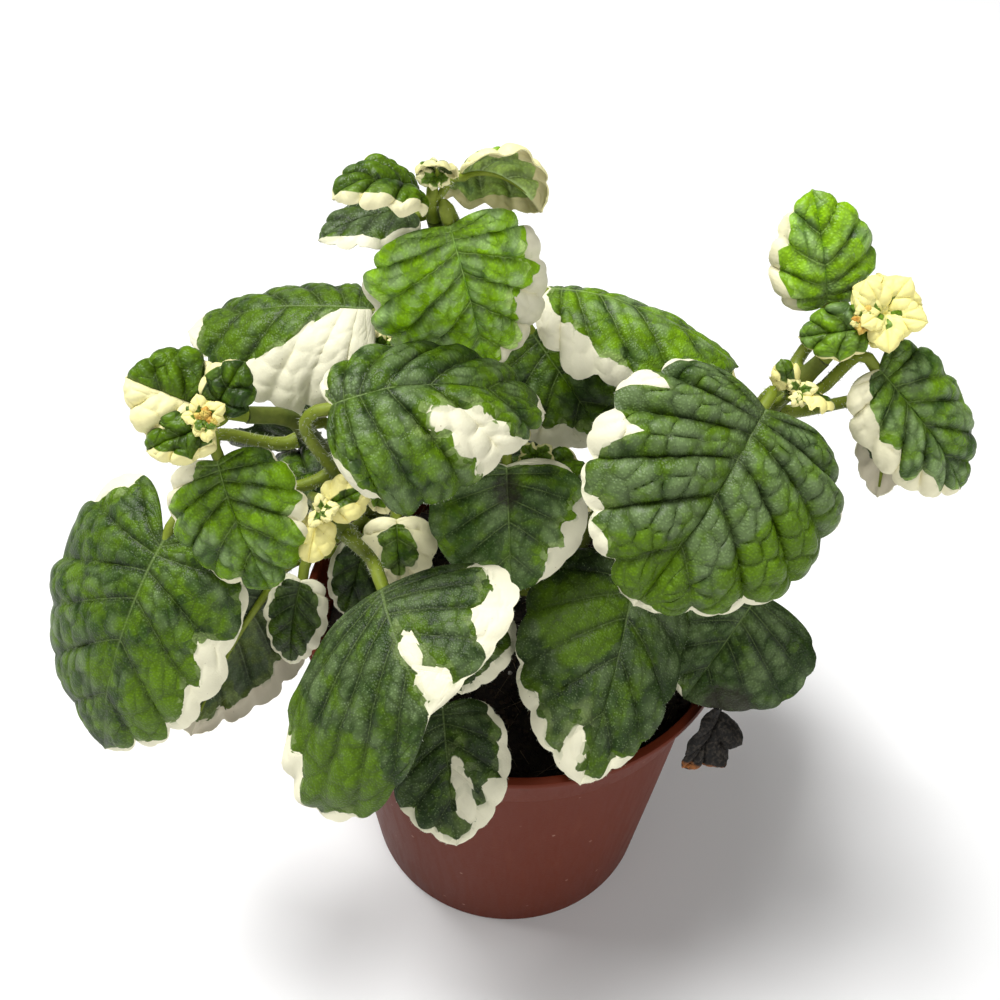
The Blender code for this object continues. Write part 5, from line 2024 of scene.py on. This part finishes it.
@dataclass
class Pot:
    """The moulded pot: a stepped collar, a beaded lip, a raised floor and drain holes."""

    paints: Paints
    height: float = 92.0
    rim_radius: float = 52.5
    foot_radius: float = 39.0
    neck_radius: float = 47.1
    wall: float = 1.3
    collar_height: float = 13.0
    collar_step: float = 1.9
    step_slope: float = 1.7
    lip_height: float = 2.2
    lip_overhang: float = 1.0
    floor_rise: float = 2.5
    foot_width: float = 4.0
    edge_round: float = 0.7
    sides: int = 144
    drain_radius: float = 3.5
    drain_circle: float = 24.0
    drain_count: int = 6

    def outside(self) -> list:
        """Return the outer profile as (radius, height), from the foot to the top of the lip."""
        collar = self.height - self.collar_height
        bead = self.edge_round
        lip_foot = self.height - self.lip_height
        middle = (self.foot_radius + self.neck_radius) / 2 + 0.15
        return [
            (self.foot_radius - 0.5, 0.0), (self.foot_radius, 0.5), (middle, collar / 2),
            (self.neck_radius - 0.1, collar - 2.2), (self.neck_radius, collar - bead),
            (self.neck_radius + 0.6, collar - 0.25),
            (self.neck_radius + self.collar_step - 0.3, collar),
            (self.neck_radius + self.collar_step, collar + 0.5),
            (self.rim_radius - self.lip_overhang, lip_foot),
            (self.rim_radius - 0.35, lip_foot + 0.15),
            (self.rim_radius, lip_foot + bead),
            (self.rim_radius, self.height - bead),
            (self.rim_radius - 0.2, self.height - 0.2),
            (self.rim_radius - bead, self.height),
        ]

    def inside(self) -> list:
        """Return the inner profile as (radius, height), from the lip to the floor."""
        collar = self.height - self.collar_height
        throat = self.rim_radius - self.lip_overhang - self.wall
        step = self.neck_radius + self.collar_step - self.wall
        floor = self.floor_rise + self.wall
        slope = (self.neck_radius - self.foot_radius) * floor / collar
        return [
            (throat + self.edge_round / 2, self.height),
            (throat + 0.05, self.height - 0.4),
            (throat, self.height - self.lip_height),
            (step, collar + self.step_slope / 2),
            (step - self.collar_step, collar - self.step_slope / 2),
            (self.foot_radius + slope - self.wall, floor),
        ]

    def build(self) -> Piece:
        """Turn the pot from its profile, bore its drain holes and dress it.

        Returns:
            The pot.
        """
        ring = self.foot_radius - self.foot_width
        profile = [(0.0, self.floor_rise), (ring - self.edge_round, self.floor_rise),
                   (ring, 0.0), *self.outside(), *self.inside(), (0.0, self.inside()[-1][1])]
        mesh = bpy.data.meshes.new("pot_profile")
        places = to_row(np.array([(radius, 0.0, height) for radius, height in profile]))
        edges = [(number, number + 1) for number in range(len(profile) - 1)]
        mesh.from_pydata(places.tolist(), edges, [])
        pot = place_in_scene("pot_shell", mesh)
        with edit_mode(pot):
            bpy.ops.mesh.spin(steps=self.sides, angle=2 * math.pi, axis=(0, 0, 1),
                              center=tuple(POT_PLACE * MM))
            bpy.ops.mesh.select_all(action="SELECT")
            bpy.ops.mesh.remove_doubles(threshold=0.01 * MM)
            bpy.ops.mesh.normals_make_consistent(inside=False)
        for number in range(self.drain_count):
            self.bore(pot, 2 * math.pi * (number + 0.5) / self.drain_count)
        pot.data.materials.clear()
        pot.data.materials.append(self.paints.pot)
        shade(pot, 35)
        finish_piece(pot, Slot.POT, "pot")
        return pot

    def bore(self, pot: Piece, turn: float) -> None:
        """Bore one drain hole through the pot's floor.

        Args:
            pot: The pot.
            turn: The hole's angle around it, in radians.
        """
        place = POT_PLACE + (self.drain_circle * math.cos(turn),
                             self.drain_circle * math.sin(turn), self.floor_rise)
        deselect_all()
        bpy.ops.mesh.primitive_cylinder_add(
            vertices=32, radius=self.drain_radius * MM, depth=12 * MM, location=tuple(place * MM),
        )
        cutter = bpy.context.object
        bore = pot.modifiers.new("drain", "BOOLEAN")
        bore.operation = "DIFFERENCE"
        bore.object = cutter
        apply_modifiers(pot)
        bpy.data.objects.remove(cutter)


@dataclass
class Soil:
    """The potting soil: a lumpy plug with crumbs, pale grit and peat fibres on its top."""

    paints: Paints
    pot: Pot
    height: float = 82.0
    lump: float = 0.75
    gap: float = 0.45
    sunk: float = 0.6
    sides: int = 120
    rings: int = 44
    crumbs: int = 1500
    grit: int = 60
    fibres: int = 220
    fibre_lift: float = 0.35

    def surface(self, x: Array, y: Array) -> Array:
        """Return the height of the soil's top at places around the pot's axis."""
        lumps = np.sin(0.31 * x + 0.9) * np.cos(0.27 * y) + 0.6 * np.sin(0.19 * x - 0.43 * y)
        points = np.stack([x, y, 0 * x], -1)
        clods = 0.55 * lattice_noise(points / 3.1, SOIL_LUMPS)
        grain = 0.3 * lattice_noise(points / 1.3, SOIL_GRAIN)
        return self.height + self.lump * lumps + (clods + grain)

    def build(self) -> Piece:
        """Build the plug from a ring, drawn inwards over the top and down along the pot's wall.

        Returns:
            The soil.
        """
        wall = [(radius - self.gap, height) for radius, height in self.pot.inside()[::-1]]
        rim = wall[2][0] - 0.1
        deselect_all()
        bpy.ops.mesh.primitive_circle_add(
            vertices=self.sides, radius=rim * MM, location=(0, 0, self.height * MM),
        )
        soil = bpy.context.object
        settle(soil)
        with edit_mode(soil):
            for ring in range(1, self.rings):
                shrink = (self.rings - ring) / (self.rings - ring + 1)
                bpy.ops.mesh.extrude_region_move()
                bpy.ops.transform.resize(value=(shrink, shrink, 1), center_override=(0, 0, 0))
            bpy.ops.mesh.merge(type="CENTER")
        points = get_points(soil) / MM
        top = self.surface(points[:, 0], points[:, 1])
        edge = smooth_step((rim - np.hypot(points[:, 0], points[:, 1])) / 3.0)
        points[:, 2] = self.height + (top - self.height) * edge - self.sunk * (1 - edge)
        set_points(soil, points * MM)
        radius, level = rim, self.height - self.sunk
        with edit_mode(soil):
            bpy.ops.mesh.select_all(action="DESELECT")
            bpy.ops.mesh.select_non_manifold()
            for next_radius, next_level in (wall[2], wall[1], (wall[0][0], wall[0][1] + 0.3)):
                next_level = min(next_level, level - 0.2)
                drop = (0, 0, (next_level - level) * MM)
                bpy.ops.mesh.extrude_region_move(TRANSFORM_OT_translate={"value": drop})
                grow = next_radius / radius
                bpy.ops.transform.resize(value=(grow, grow, 1), center_override=(0, 0, 0))
                radius, level = next_radius, next_level
            bpy.ops.mesh.edge_face_add()
            bpy.ops.mesh.select_all(action="SELECT")
            bpy.ops.mesh.normals_make_consistent(inside=False)
        set_points(soil, to_row(get_points(soil) / MM))
        soil.data.materials.append(self.paints.peat)
        piece = join([soil, *self.litter(rim)], "soil_bed")
        shade(piece, 80)
        finish_piece(piece, Slot.SOIL, "soil")
        return piece

    def litter(self, rim: float) -> list:
        """Scatter crumbs, grit and fibres over the soil.

        Args:
            rim: The radius of the soil's top.

        Returns:
            The scattered meshes.
        """
        random = np.random.default_rng(LITTER_SEED)
        pieces = []
        kinds = (
            ("crumb", self.crumbs, (0.35, 1.15), self.paints.crumb),
            ("grit", self.grit, (0.35, 0.85), self.paints.grit),
            ("fibre", self.fibres, (0.09, 0.16), self.paints.fibre),
        )
        for name, count, (low, high), material in kinds:
            deselect_all()
            long = name == "fibre"
            if long:
                bpy.ops.mesh.primitive_cone_add(vertices=5, radius1=MM, radius2=0.4 * MM, depth=MM)
            else:
                bpy.ops.mesh.primitive_ico_sphere_add(subdivisions=1, radius=MM)
            template = bpy.context.object
            jitter = random.uniform(0.75, 1.2, (len(template.data.vertices), 1))
            set_points(template, get_points(template) * jitter)
            template.data.materials.append(material)
            radius = rim * np.sqrt(random.uniform(0, 0.97, count))
            turn = random.uniform(0, 2 * math.pi, count)
            x, y = radius * np.cos(turn), radius * np.sin(turn)
            size = random.uniform(low, high, count)
            places = np.stack([x, y, self.surface(x, y) + 0.2 * size], -1)
            axes = units(random.normal(0, 1, (count, 3)) * (1, 1, 0.25 if long else 1.0))
            if long:
                length = random.uniform(2.0, 7.0, count)
                places[:, 2] += self.fibre_lift
            else:
                length = size * random.uniform(0.7, 1.3, count)
            sizes = np.stack([size, length], -1)
            pieces.append(scatter(template, name, to_row(places), axes, sizes))
            bpy.data.objects.remove(template)
        return pieces


# ---- The studio


@dataclass
class Studio:
    """The floor, the soft lights and the camera at the photograph's angle."""

    paints: Paints
    eye: tuple = (1.5, -190.1, 315.1)
    target: tuple = (1.5, -1.3, 126.3)
    roll: float = 1.9
    lens: float = 42.48
    sensor: float = 36.0
    floor_size: float = 6.0
    world: float = 0.17
    backdrop: float = 0.9
    light_aim: tuple = (0.0, 0.0, 0.1)

    def build_camera(self) -> None:
        """Set the camera 45 degrees above the plant, turned a little about its line of sight."""
        back = unit(np.subtract(self.eye, self.target).astype(float))
        right = np.array([1.0, 0.0, 0.0])
        up = np.cross(back, right)
        turn = math.radians(self.roll)
        across = math.cos(turn) * right + math.sin(turn) * up
        above = math.cos(turn) * up - math.sin(turn) * right
        data = bpy.data.cameras.new("photo_camera")
        data.lens = self.lens
        data.sensor_width = self.sensor
        data.clip_start = 0.01
        camera = place_in_scene("photo_camera", data)
        matrix = Matrix.Identity(4)
        for column, vector in enumerate((across, above, back)):
            for row in range(3):
                matrix[row][column] = vector[row]
        matrix.translation = Vector(self.eye) * MM
        camera.matrix_world = matrix
        bpy.context.scene.camera = camera

    def build_light(self, name: str, place: tuple, size: float, power: float) -> None:
        """Hang one soft square light that faces the plant.

        Args:
            name: Its name.
            place: Where it hangs, in metres.
            size: The length of its sides, in metres.
            power: Its power, in watts.
        """
        data = bpy.data.lights.new(name, "AREA")
        data.size = size
        data.energy = power
        light = place_in_scene(name, data)
        light.location = place
        aim = Vector(self.light_aim) - Vector(place)
        light.rotation_euler = aim.to_track_quat("-Z", "Y").to_euler()

    def build(self) -> None:
        """Build the studio."""
        deselect_all()
        bpy.ops.mesh.primitive_circle_add(
            vertices=64, radius=self.floor_size / 2, fill_type="NGON",
        )
        floor = bpy.context.object
        floor.name = "studio_floor"
        floor.data.materials.append(self.paints.floor)
        world = bpy.data.worlds.new("studio_light")
        world.use_nodes = True
        w = Wiring(world.node_tree)
        seen = w.add("LightPath").outputs["Is Camera Ray"]
        w.feed(world.node_tree.nodes["Background"], {
            "Color": rgba((1.0, 1.0, 1.0)),
            "Strength": w.line(seen, self.backdrop - self.world, self.world),
        })
        bpy.context.scene.world = world
        self.build_light("key_light", (-0.7, 0.2, 2.0), 0.8, 56.0)
        self.build_light("front_light", (0.9, -1.6, 1.3), 1.2, 17.0)
        self.build_camera()
        bpy.context.scene.view_settings.view_transform = "Standard"


def main() -> None:
    """Build the studio, the pot, the soil and the plant, and report each piece."""
    logging.basicConfig(level=logging.INFO, format="%(message)s")
    paints = Paints().build()
    Studio(paints).build()
    pot = Pot(paints)
    pot.build()
    Soil(paints, pot).build()
    hairs = HairMaker(paints)
    hairs.model()
    Foliage(paints, hairs).build()
    bpy.data.objects.remove(hairs.template)


if __name__ == "__main__":
    main()
